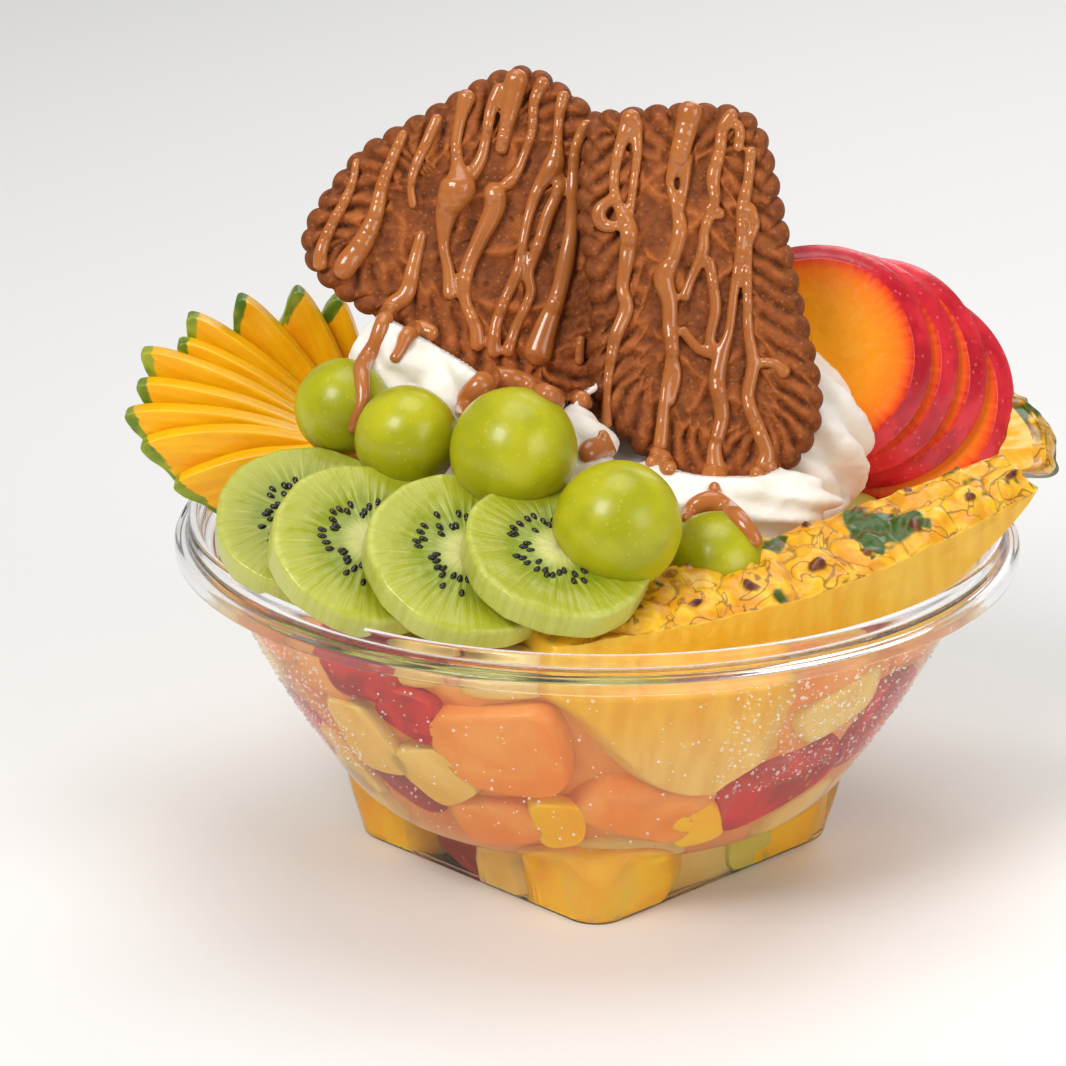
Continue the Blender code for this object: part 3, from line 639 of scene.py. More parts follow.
@dataclass(frozen=True)
class MottledFinish(Finish):
    """Cut flesh of one colour that clouds between two tones, with fine wet grain."""

    light: Colour = (250, 200, 60)
    dark: Colour = (235, 170, 30)
    cloud: float = 110.0
    grain: float = 900.0

    def paint(self, sheet: Sheet) -> dict:
        """Two tones clouded over the surface."""
        colour = self.clouded(sheet, self.cloud, self.light, self.dark)
        return {"colour": colour, "height": self.grained(sheet, self.grain, self.grain * 0.6)}


@dataclass(frozen=True)
class GrapeFinish(Finish):
    """Green grape skin: paler veins and freckles over a clear green."""

    def paint(self, sheet: Sheet) -> dict:
        """Soft clouds of yellow green with small pale freckles."""
        skin = self.clouded(sheet, 95.0, (190, 186, 24), (164, 164, 8))
        colour = sheet.mix(self.dotted(sheet, 620.0, 0.2, 0.35), skin, tint(206, 206, 96))
        return {"colour": colour, "height": sheet.noise(sheet.place(), 260.0, 3.0)}


@dataclass(frozen=True)
class KiwiFinish(Finish):
    """Kiwi flesh: a pale core, dark green round it with pale rays, and a light peeled rim."""

    def paint(self, sheet: Sheet) -> dict:
        """Rings of green by the distance from the core, streaked by rays."""
        own = sheet.kept("own")
        far = sheet.add("VectorMath", {0: sheet.scaled(own, (1.0, 1.0, 0.0))}, operation="LENGTH").outputs[1]
        rays = self.use(sheet, Effect.RAYS, Place=own, Fineness=13.0).outputs["Value"]
        wave = sheet.math("MULTIPLY", sheet.math("SUBTRACT", rays, 0.5), 0.16)
        rings = sheet.ramp(sheet.math("ADD", far, wave), (
            (0.0, tint(222, 216, 150)), (0.2, tint(206, 204, 116)), (0.33, tint(136, 152, 34)),
            (0.52, tint(138, 150, 22)), (0.72, tint(162, 166, 32)), (0.93, tint(176, 178, 48)),
            (1.0, tint(196, 198, 96)),
        ))
        faded = sheet.math("SUBTRACT", 1.0, sheet.band(far, 0.5, 0.95))
        zone = sheet.math("MULTIPLY", sheet.band(far, 0.12, 0.3), faded)
        streak = sheet.math("MULTIPLY", sheet.band(rays, 0.52, 0.72), sheet.math("MULTIPLY", zone, 0.6))
        colour = sheet.mix(streak, rings, tint(204, 208, 110))
        height = sheet.math("ADD", self.grained(sheet, 700.0, 520.0), sheet.math("MULTIPLY", rays, 1.5))
        return {"colour": colour, "height": height}


@dataclass(frozen=True)
class StoneFruitFinish(Finish):
    """Orange flesh that reddens to its edge, and speckled crimson skin."""

    def paint(self, sheet: Sheet) -> dict:
        """Flesh rings by distance from the middle, and skin where the mesh says."""
        own = sheet.kept("own")
        far = sheet.add("VectorMath", {0: sheet.scaled(own, (1.0, 1.0, 0.0))}, operation="LENGTH").outputs[1]
        rays = self.use(sheet, Effect.RAYS, Place=own, Fineness=16.0).outputs["Value"]
        wave = sheet.math("MULTIPLY", sheet.math("SUBTRACT", rays, 0.5), 0.12)
        flesh = sheet.ramp(sheet.math("ADD", far, wave), (
            (0.0, tint(255, 172, 14)), (0.6, tint(255, 156, 10)), (0.86, tint(252, 126, 12)),
            (0.96, tint(236, 74, 18)), (1.0, tint(205, 30, 25)),
        ))
        skin = self.clouded(sheet, 120.0, (228, 42, 58), (186, 14, 34))
        skin = sheet.mix(self.dotted(sheet, 560.0, 0.22, 0.4), skin, tint(238, 130, 120))
        mask = sheet.band(sheet.parts(sheet.kept("tone"))[0], 0.35, 0.65)
        return {"colour": sheet.mix(mask, flesh, skin), "height": self.grained(sheet, 800.0, 500.0)}


@dataclass(frozen=True)
class MangoFinish(Finish):
    """Yellow flesh with faint fibres and painted light along its upper side, and a green skin along its outer
    end.
    """

    def paint(self, sheet: Sheet) -> dict:
        """Fibres run along the slice; the skin and the painted light on its upper side are where the mesh
        says.
        """
        own = sheet.kept("own")
        fibre = sheet.noise(sheet.scaled(own, (0.05, 0.55, 0.4)), 1.0, 4.0)
        flesh = sheet.mix(sheet.band(fibre, 0.35, 0.7), tint(238, 146, 0), tint(250, 184, 2))
        skin = self.clouded(sheet, 160.0, (164, 172, 36), (78, 116, 20))
        rind, over, _ = sheet.parts(sheet.kept("tone"))
        # Painted light: the flesh turns paler towards the slice's upper side, and the darker lower side is
        # painted shade.
        flesh = sheet.mix(sheet.math("MULTIPLY", over, 0.45), flesh, tint(255, 206, 14))
        mask = sheet.band(rind, 0.4, 0.75)
        height = sheet.math("ADD", self.grained(sheet, 600.0, 420.0), sheet.math("MULTIPLY", fibre, 1.4))
        return {"colour": sheet.mix(mask, flesh, skin), "height": height}


@dataclass(frozen=True)
class PineappleFinish(Finish):
    """Fibrous yellow flesh, and rind whose eyes are golden with brown middles and green patches."""

    def paint(self, sheet: Sheet) -> dict:
        """The mesh keeps how far the rind is (x), how near an eye's middle (y) and its groove (z)."""
        own, place = sheet.kept("own"), sheet.place()
        fibre = sheet.noise(sheet.scaled(own, (0.3, 0.07, 0.25)), 1.0, 4.0)
        pale = sheet.mix(sheet.band(fibre, 0.2, 0.8), tint(234, 190, 108), tint(248, 216, 146))
        ripe = sheet.mix(sheet.band(fibre, 0.2, 0.8), tint(238, 174, 30), tint(250, 202, 66))
        flesh = sheet.mix(sheet.band(sheet.parts(own)[1], -34.0, -12.0), pale, ripe)
        rind, eye, groove = sheet.parts(sheet.kept("tone"))
        gold = self.clouded(sheet, 210.0, (246, 196, 42), (226, 152, 20))
        green = sheet.band(sheet.noise(place, 70.0, 3.0, 1.0), 0.57, 0.63)
        gold = sheet.mix(green, gold, tint(62, 92, 14))
        brown = self.clouded(sheet, 420.0, (140, 78, 30), (74, 34, 14))
        worn = sheet.math("ADD", eye, sheet.math("MULTIPLY", sheet.noise(place, 240.0, 4.0), 0.5))
        skin = sheet.mix(sheet.band(worn, 0.86, 1.06), gold, brown)
        line = sheet.math("ABSOLUTE", sheet.math("SUBTRACT", sheet.noise(place, 85.0, 2.0, 1.6), 0.5))
        crack = sheet.math("SUBTRACT", 1.0, sheet.band(line, 0.004, 0.022))
        skin = sheet.mix(sheet.math("MULTIPLY", crack, 0.65), skin, tint(104, 50, 14))
        skin = sheet.mix(sheet.math("MULTIPLY", sheet.band(groove, 0.5, 0.95), 0.5), skin, tint(120, 66, 20))
        height = sheet.math("ADD", self.grained(sheet, 700.0, 420.0), sheet.math("MULTIPLY", fibre, 0.9))
        return {"colour": sheet.mix(sheet.band(rind, 0.4, 0.7), flesh, skin), "height": height}


@dataclass(frozen=True)
class BiscuitFinish(Finish):
    """Baked crumb, with painted light on its ridges and painted shade in its hollows."""

    def paint(self, sheet: Sheet) -> dict:
        """The mesh keeps its relief as painted light and shade, and crumbs speckle it."""
        # Painted light and shade: the kept relief makes the crumb lighter on ridges and darker in hollows.
        high = sheet.parts(sheet.kept("tone"))[0]
        crumb = sheet.noise(sheet.place(), 520.0, 6.0)
        value = sheet.math("ADD", high, sheet.math("MULTIPLY", sheet.math("SUBTRACT", crumb, 0.5), 0.7))
        colour = sheet.ramp(value, (
            (0.1, tint(78, 34, 8)), (0.38, tint(126, 64, 20)), (0.62, tint(156, 82, 30)),
            (0.95, tint(184, 104, 46)),
        ))
        colour = sheet.mix(self.dotted(sheet, 750.0, 0.26, 0.3), colour, tint(204, 132, 72))
        return {"colour": colour, "height": self.grained(sheet, 900.0, 1300.0)}


@dataclass(frozen=True)
class StrawberryFinish(Finish):
    """Red skin with pale seeds in pits, and a paler cut face."""

    def paint(self, sheet: Sheet) -> dict:
        """Red clouds with yellow seeds."""
        red = self.clouded(sheet, 130.0, (214, 40, 48), (160, 10, 26))
        colour = sheet.mix(self.dotted(sheet, 300.0, 0.2, 0.8), red, tint(226, 150, 84))
        return {"colour": colour, "height": self.dotted(sheet, 300.0, 0.2, -1.0)}


PLASTIC = ClearFinish(
    "clear_plastic", "clear plastic", roughness=0.09, tone=(250, 250, 250), bends=1.24, clear=0.98)
JUICE = ClearFinish("juice", "clear juice", roughness=0.0, tone=(255, 244, 218), bends=1.25)
# Painted highlight: the drops let only three quarters through, so their white colour shows on them as whitish
# glints.
WATER = ClearFinish(
    "clear_plastic", "water drops", roughness=0.05, tone=(255, 255, 255), bends=1.33, clear=0.75)
GRAPE = GrapeFinish(
    "grape", "grape skin", roughness=0.34, coat=0.2, coat_roughness=0.18,
    glow=0.45, glow_reach=(0.9, 1.0, 0.2), glow_depth=5.0, relief=0.05)
KIWI = KiwiFinish(
    "kiwi", "kiwi flesh", roughness=0.32, coat=0.25, coat_roughness=0.15,
    glow=0.3, glow_reach=(0.7, 1.0, 0.3), glow_depth=2.0, relief=0.16)
SEED = MottledFinish(
    "kiwi", "kiwi seed", roughness=0.25, coat=0.4, glow=0.0, relief=0.02,
    light=(38, 26, 24), dark=(14, 9, 10))
STONE_FRUIT = StoneFruitFinish(
    "stone_fruit", "stone fruit", roughness=0.3, coat=0.3, coat_roughness=0.12,
    glow=0.3, glow_reach=(1.0, 0.45, 0.15), glow_depth=2.0, relief=0.1)
MANGO = MangoFinish(
    "mango", "mango flesh", roughness=0.36, coat=0.2, coat_roughness=0.15,
    glow=0.3, glow_reach=(1.0, 0.7, 0.15), glow_depth=2.0, relief=0.12)
PINEAPPLE = PineappleFinish(
    "pineapple", "pineapple flesh", roughness=0.36, coat=0.2, coat_roughness=0.15,
    glow=0.25, glow_reach=(1.0, 0.75, 0.25), glow_depth=2.5, relief=0.2)
CREAM = MottledFinish(
    "whipped_cream", "whipped cream", roughness=0.5, coat=0.1, coat_roughness=0.3,
    glow=0.5, glow_reach=(1.0, 0.92, 0.82), glow_depth=3.0, relief=0.06,
    light=(253, 246, 236), dark=(247, 236, 222), cloud=60.0, grain=1500.0)
BISCUIT = BiscuitFinish(
    "biscuit", "biscuit crumb", roughness=0.72, coat=0.0, coat_roughness=0.3, glow=0.0, relief=0.22)
CARAMEL = MottledFinish(
    "caramel", "caramel sauce", roughness=0.22, coat=0.5, coat_roughness=0.08,
    glow=0.15, glow_reach=(1.0, 0.6, 0.3), glow_depth=1.5, relief=0.02,
    light=(190, 116, 56), dark=(174, 100, 44), cloud=80.0, grain=300.0)


# The cup


@dataclass
class Cup:
    """The clear plastic bowl: a round flared wall that meets a square foot, under a flange with a lip."""

    wall: float = 0.8
    foot_half: float = 34.2
    foot_corner: float = 6.5
    foot_flare: float = 0.205
    foot_edge: float = 1.0
    blend: float = 0.8
    sides: int = 288
    juice_level: float = 60.5
    juice_into_wall: float = 0.35
    wall_profile: tuple = (
        (20.0, 6.2), (27.0, 7.0), (33.0, 8.5), (40.0, 11.0), (46.0, 14.0), (49.0, 16.6),
        (52.0, 20.5), (56.3, 27.0), (62.0, 36.0), (67.5, 46.0), (72.0, 55.0), (75.2, 61.5),
    )
    rim_profile: tuple = (
        (75.3, 61.9), (75.6, 63.1), (76.6, 63.7), (79.0, 63.8), (81.0, 63.7), (81.6, 62.9), (81.9, 62.1),
        (82.3, 62.1), (82.5, 62.9), (82.45, 64.1), (81.9, 64.9), (80.9, 65.05), (80.2, 65.4), (79.95, 66.4),
        (79.85, 67.6), (79.4, 68.5), (78.7, 68.7), (78.0, 68.5), (77.6, 67.6), (77.2, 66.0), (76.3, 64.9),
        (75.2, 63.9), (74.7, 62.6),
    )

    def round_radius(self, height: Array, inset: float) -> Array:
        """Radius of the round wall: its smooth profile, moved inwards along its normal."""
        line = smooth_curve(self.wall_profile, 160)
        along = unit(np.gradient(line, axis=0))
        line = line + inset * np.stack([-along[:, 1], along[:, 0]], axis=1)
        return np.interp(height, line[:, 1], line[:, 0], left=0.0)

    def foot_radius(self, turn: Array, height: Array, inset: float) -> Array:
        """Radius of the flared square foot with round corners, from its middle."""
        near = np.abs((turn + math.pi / 4) % (math.pi / 2) - math.pi / 4)
        half = self.foot_half - inset + self.foot_flare * height
        corner = self.foot_corner - inset
        reach = (half - corner) * math.sqrt(2.0)
        meets = np.arctan2(corner * math.sin(math.pi / 4), reach + corner * math.cos(math.pi / 4))
        inside = np.clip(corner**2 - (reach * np.sin(near)) ** 2, 0.0, None)
        round_part = reach * np.cos(near) + np.sqrt(inside)
        return np.where(near < meets, round_part, half / np.cos(math.pi / 4 - near))

    def radius(self, turn: Array, height: Array, inset: float = 0.0) -> Array:
        """The wall's radius: the soft maximum (a + b + root((a - b)^2 + c^2)) / 2 of bowl and foot."""
        bowl, foot = self.round_radius(height, inset), self.foot_radius(turn, height, inset)
        apart = bowl - foot
        return 0.5 * (bowl + foot + np.sqrt(apart**2 + self.blend**2)) - 0.5 * self.blend * ridge(apart, 8.0)

    def turns(self) -> Array:
        """The angles round the cup, from the front towards the right."""
        return np.arange(self.sides) * 2.0 * math.pi / self.sides

    def rings(self, heights: Array, inset: float, trim: Array = 0.0) -> Array:
        """Rings of the wall at the heights, each drawn in by its trim."""
        turn, height = np.meshgrid(self.turns(), heights)
        radius = self.radius(turn, height, inset) - np.broadcast_to(trim, len(heights))[:, None]
        return np.stack([radius * np.sin(turn), -radius * np.cos(turn), height], axis=-1)

    def lathe(self, profile: Array) -> Array:
        """Rings turned from a profile of (radius, height)."""
        turn = self.turns()[None, :]
        radius, height = profile[:, :1], profile[:, 1:]
        return np.stack(np.broadcast_arrays(radius * np.sin(turn), -radius * np.cos(turn), height), axis=-1)

    def skin(self) -> Skin:
        """The whole wall: outside up, over the rim, and down the inside to the floor."""
        bend = np.linspace(0.0, math.pi / 2, 5)
        low = self.foot_edge * (1 - np.sin(bend))
        levels = np.concatenate([self.foot_edge * (1 - np.cos(bend)), np.linspace(2, 20, 37),
                                 np.linspace(21, 61, 41)])
        trims = np.concatenate([low, np.zeros(len(levels) - len(low))])
        rim = self.lathe(smooth_curve(self.rim_profile, 90))
        inner_levels = np.concatenate([np.linspace(61.6, 21, 40), np.linspace(20, self.wall + 1.0, 38)])
        inside = self.rings(inner_levels, self.wall)
        floor = self.rings(np.full(6, self.wall), self.wall, np.array((1.0, 6.0, 12.0, 18.0, 24.0, 30.0)))
        base = self.rings(np.zeros(5), 0.0, np.array((30.0, 22.0, 14.0, 7.0, 3.0)))
        rings = np.concatenate([base, self.rings(levels, 0.0, trims), rim, inside, floor])
        return closed_skin(rings, np.zeros(3), np.array((0.0, 0.0, self.wall)))

    def kept_inside(self, points: Array, into_wall: float) -> Array:
        """Points drawn towards the axis until they are only that far into the wall, and above its floor."""
        turn = np.arctan2(points[..., 0], -points[..., 1])
        height = np.maximum(points[..., 2], self.wall - into_wall)
        limit = self.radius(turn, height, self.wall) + into_wall
        flat = np.hypot(points[..., 0], points[..., 1])
        share = np.minimum(1.0, limit / np.maximum(flat, 1e-6))
        return np.stack([points[..., 0] * share, points[..., 1] * share, height], axis=-1)

    def pressed(self, points: Array, share: Array, into_wall: float) -> Array:
        """Points moved out to the wall by a share of the way."""
        turn = np.arctan2(points[..., 0], -points[..., 1])
        limit = self.radius(turn, points[..., 2], self.wall) + into_wall
        flat = np.maximum(np.hypot(points[..., 0], points[..., 1]), 1e-6)
        grow = 1.0 + share * np.maximum(limit / flat - 1.0, 0.0)
        return points * np.stack([grow, grow, np.ones_like(grow)], axis=-1)

    def juice(self, level: float, into_wall: float) -> Skin:
        """The liquid: it reaches just into the wall, up to its level."""
        heights = np.concatenate([[self.wall - into_wall], np.linspace(self.wall + 0.6, level, 60)])
        trims = np.concatenate([[0.8], np.zeros(60)])
        body = self.rings(heights, self.wall - into_wall, trims)
        top = self.rings(np.array((level, level, level)), self.wall, np.array((2.0, 20.0, 50.0)))
        base = self.rings(np.full(3, heights[0]), self.wall, np.array((30.0, 18.0, 6.0)))
        rings = np.concatenate([base, body, top])
        return closed_skin(rings, np.array((0, 0, heights[0])), np.array((0.0, 0.0, level)))

    def build(self) -> None:
        """Makes the cup and its juice."""
        make_piece("cup_wall", [self.skin()], PLASTIC, ("cup",))
        liquid = self.juice(self.juice_level, self.juice_into_wall)
        make_piece("juice_in_cup", [liquid], JUICE, ("cut_fruit",))


# The cut fruit inside


class Cut(Enum):
    """The kinds of cut fruit in the cup, each with its finish."""

    MELON = MottledFinish(
        "cut_fruit", "orange melon", roughness=0.4, coat=0.2, glow=0.35, glow_reach=(1.0, 0.6, 0.35),
        glow_depth=3.0, light=(252, 174, 98), dark=(244, 146, 62), cloud=70.0)
    PALE = MottledFinish(
        "cut_fruit", "pale melon", roughness=0.4, coat=0.2, glow=0.35, glow_reach=(1.0, 0.85, 0.55),
        glow_depth=3.0, light=(248, 218, 146), dark=(236, 192, 96), cloud=60.0)
    YELLOW = MottledFinish(
        "cut_fruit", "mango cube", roughness=0.35, coat=0.3, glow=0.3, glow_reach=(1.0, 0.75, 0.2),
        glow_depth=2.5, light=(255, 206, 0), dark=(255, 184, 0), cloud=90.0)
    RED = StrawberryFinish(
        "cut_fruit", "strawberry", roughness=0.35, coat=0.35, glow=0.25, glow_reach=(1.0, 0.3, 0.2),
        relief=0.5)
    GREEN = MottledFinish(
        "cut_fruit", "green melon", roughness=0.4, coat=0.2, glow=0.35, glow_reach=(0.8, 1.0, 0.5),
        glow_depth=3.0, light=(222, 212, 110), dark=(192, 186, 60), cloud=60.0)


@dataclass
class CutFruit:
    """The chunks that fill the cup, pressed against its wall round a softer core."""

    cup: Cup
    seed: int = 11
    grown: float = 1.1
    into_wall: float = 0.12
    foot_top: float = 12.0
    foot_power: float = 0.3
    large: float = 11.0
    large_power: float = 0.38
    small_power: float = 0.52
    set_back: float = 0.42
    shear: float = 0.22
    wall_from: float = 14.0
    wall_tilt: float = 0.45
    foot_tilt: float = 0.1
    core_inset: float = 4.4
    core_foot_inset: float = 6.0
    # how far the unseen ones vary in turn, height and spin, and in size
    stray: tuple = (3.0, 2.0, 35.0)
    size_range: tuple = (0.85, 1.2)
    # kind, turn from the front to the right, height, width, height of the piece, spin
    seen: tuple = (
        (Cut.PALE, -45, 41, 14, 19, 8), (Cut.RED, -32, 51, 12, 12, -20), (Cut.MELON, -17, 46, 25, 23, 6),
        (Cut.PALE, -31, 36, 15, 15, 30), (Cut.RED, -42, 30, 17, 10, -35), (Cut.MELON, -21, 26, 19, 14, 12),
        (Cut.YELLOW, -8, 26, 10, 14, 4), (Cut.MELON, 9, 32, 26, 18, -22), (Cut.YELLOW, 21, 24, 9, 12, 20),
        (Cut.RED, 38, 34, 28, 19, 20), (Cut.PALE, 44, 49, 20, 13, 24), (Cut.RED, 60, 42, 18, 22, 10),
        (Cut.YELLOW, -86, 9, 20, 21, 0), (Cut.RED, -57, 9, 27, 15, -25), (Cut.PALE, -27, 7, 17, 15, 10),
        (Cut.YELLOW, 1, 9, 29, 21, 6), (Cut.PALE, 37, 7, 23, 15, -10), (Cut.GREEN, 62, 8, 16, 15, -6),
        (Cut.YELLOW, 82, 10, 25, 21, 0), (Cut.MELON, -52, 55, 20, 13, -10), (Cut.PALE, -30, 60, 16, 7, 4),
        (Cut.PALE, -15, 60, 16, 7, 8), (Cut.MELON, 62, 58, 20, 11, 0), (Cut.PALE, -62, 30, 16, 16, 15),
        (Cut.PALE, 52, 22, 18, 10, 20), (Cut.PALE, 8, 19, 20, 9, -5),
    )
    # height, first and last turn, how many, width and height of each, distance in from the wall
    unseen: tuple = (
        (9, 100, 272, 8, 20, 17, 0), (23, 64, 310, 11, 18, 15, 0), (36, 72, 302, 12, 19, 16, 0),
        (49, 74, 296, 12, 21, 16, 0), (59, 74, 330, 13, 20, 13, 0), (60, 104, 256, 9, 21, 15, 15),
        (60, 112, 248, 6, 22, 17, 29),
    )

    def chunk(self, turn: float, height: float, wide: float, tall: float, spin: float, seed: int,
              inset: float = 0.0) -> Skin:
        """A rounded block against the wall.

        In its own axes each point is sign(d) |d|^p times the half size for d on a sphere and p under one, a
        superquadric, which is then sheared and roughened, and pressed flat where it meets the wall.

        Args:
            turn: its middle's angle from the front to the right, in degrees.
            height: its middle's height.
            wide: its width along the wall.
            tall: its height.
            spin: how far it is turned on the wall, in degrees.
            seed: which roughness it has.
            inset: how far in from the wall it lies.

        Returns:
            Its skin.
        """
        way = ball(24, 40)
        power = self.large_power if tall > self.large else self.small_power
        power = self.foot_power if height < self.foot_top else power
        block = np.sign(way) * np.abs(way) ** power
        block = block / np.maximum(np.linalg.norm(block, axis=-1, keepdims=True) ** 0.35, 1e-6)
        draw = np.random.default_rng(self.seed + seed)
        shear = draw.uniform(-self.shear, self.shear, 3)
        block[..., 0] *= 1.0 + shear[0] * block[..., 1]
        block[..., 1] *= 1.0 + shear[1] * block[..., 0]
        angle, spun = math.radians(turn), math.radians(spin)
        tilt = self.wall_tilt if height > self.wall_from else self.foot_tilt
        outward = unit(np.array((math.sin(angle), -math.cos(angle), -tilt)))
        side = unit(np.cross((0.0, 0.0, 1.0), outward))
        up = np.cross(outward, side)
        right = math.cos(spun) * side + math.sin(spun) * up
        above = -math.sin(spun) * side + math.cos(spun) * up
        half = np.array((0.5 * wide, 0.5 * tall, 0.55 * min(wide, tall)))
        wall = float(self.cup.radius(np.array(angle), np.array(float(height)), self.cup.wall))
        out_at = wall - self.set_back * wide - inset
        middle = np.array((out_at * math.sin(angle), -out_at * math.cos(angle), height))
        points = middle + (block * half) @ np.stack([right, above, outward])
        points = points + 0.5 * rough(points, 7.0, seed)[..., None] * unit(points - middle)
        points = self.cup.kept_inside(points, self.into_wall)
        ends = [self.cup.kept_inside(middle + half[2] * sign * outward, self.into_wall) for sign in (1, -1)]
        return closed_skin(points, ends[0], ends[1])

    def core(self) -> Skin:
        """The pulp behind the chunks, which keeps a lumpy distance from the wall."""
        heights = np.linspace(3.0, 58.0, 46)
        trims = self.core_inset + self.core_foot_inset * ridge(heights - 3.0, 6.0)
        rings = self.cup.rings(heights, self.cup.wall, trims)
        rings = rings + 1.6 * rough(rings, 9.0, 5)[..., None] * unit(rings * (1, 1, 0))
        top = self.cup.rings(np.array((59.5, 60.0)), self.cup.wall, np.array((14.0, 40.0)))
        return closed_skin(np.concatenate([rings, top]), np.array((0, 0, 3.0)), np.array((0, 0, 60.2)))

    def build(self) -> None:
        """Makes one piece for each kind of fruit, and the core."""
        heaps: dict[Cut, list[Skin]] = {kind: [] for kind in Cut}
        for index, (kind, turn, height, wide, tall, spin) in enumerate(self.seen):
            sizes = self.grown * wide, self.grown * tall
            heaps[kind].append(self.chunk(turn, height, *sizes, spin, index))
        draw = np.random.default_rng(self.seed)
        kinds = (Cut.MELON, Cut.PALE, Cut.YELLOW, Cut.RED, Cut.PALE, Cut.MELON, Cut.GREEN, Cut.YELLOW)
        number = len(self.seen)
        swing, shift, roll = self.stray
        for height, start, stop, count, wide, tall, inset in self.unseen:
            for step in range(count):
                turn = start + (step + 0.5) * (stop - start) / count + draw.uniform(-swing, swing)
                sizes = wide * draw.uniform(*self.size_range), tall * draw.uniform(*self.size_range)
                kind = kinds[(3 * number + number // 5) % len(kinds)]
                level, spin = height + draw.uniform(-shift, shift), draw.uniform(-roll, roll)
                heaps[kind].append(self.chunk(turn, level, *sizes, spin, number, inset))
                number += 1
        for kind, skins in heaps.items():
            make_piece(f"fruit_{kind.name.lower()}", skins, kind.value, ("cut_fruit",))
        make_piece("fruit_core", [self.core()], Cut.MELON.value, ("cut_fruit",))


# Round fruit


@dataclass
class Grapes:
    """Green grapes, a little longer than they are wide."""

    # across, rise, out, radius
    places: tuple = (
        (-48.9, 83.4, 46.0, 9.2), (-36.4, 77.4, 60.0, 9.8), (-16.2, 74.8, 69.0, 11.9),
        (3.0, 61.0, 80.0, 11.9), (21.8, 53.7, 62.0, 10.1),
    )
    axis: tuple = (0.2, -0.3, 1.0)
    long: float = 1.03

    def skin(self, place: tuple, seed: int) -> Skin:
        """An ellipsoid: radius (sin p cos t, sin p sin t, long cos p), uneven by a fiftieth."""
        across, rise, out, radius = place
        axis = unit(np.array(self.axis))
        right, up = disc_frame(axis)
        polar = np.linspace(0.0, math.pi, 50)[1:-1, None]
        turn = np.linspace(0.0, 2 * math.pi, 72, endpoint=False)[None, :]
        x, y = np.sin(polar) * np.cos(turn), np.sin(polar) * np.sin(turn)
        z = self.long * np.cos(polar) * np.ones_like(turn)
        way = x[..., None] * right + y[..., None] * up + z[..., None] * axis
        middle = lean_point(across, rise, out)
        swell = 1.0 + 0.012 * rough(way * 10.0, 9.0, seed)
        rings = middle + radius * swell[..., None] * way
        return closed_skin(rings, middle + radius * self.long * axis, middle - radius * self.long * axis)

    def build(self) -> list[bpy.types.Object]:
        """Makes each grape."""
        return [make_piece(f"grape_{index}_skin", [self.skin(place, index)], GRAPE, (f"grape_{index}",))
                for index, place in enumerate(self.places, 1)]


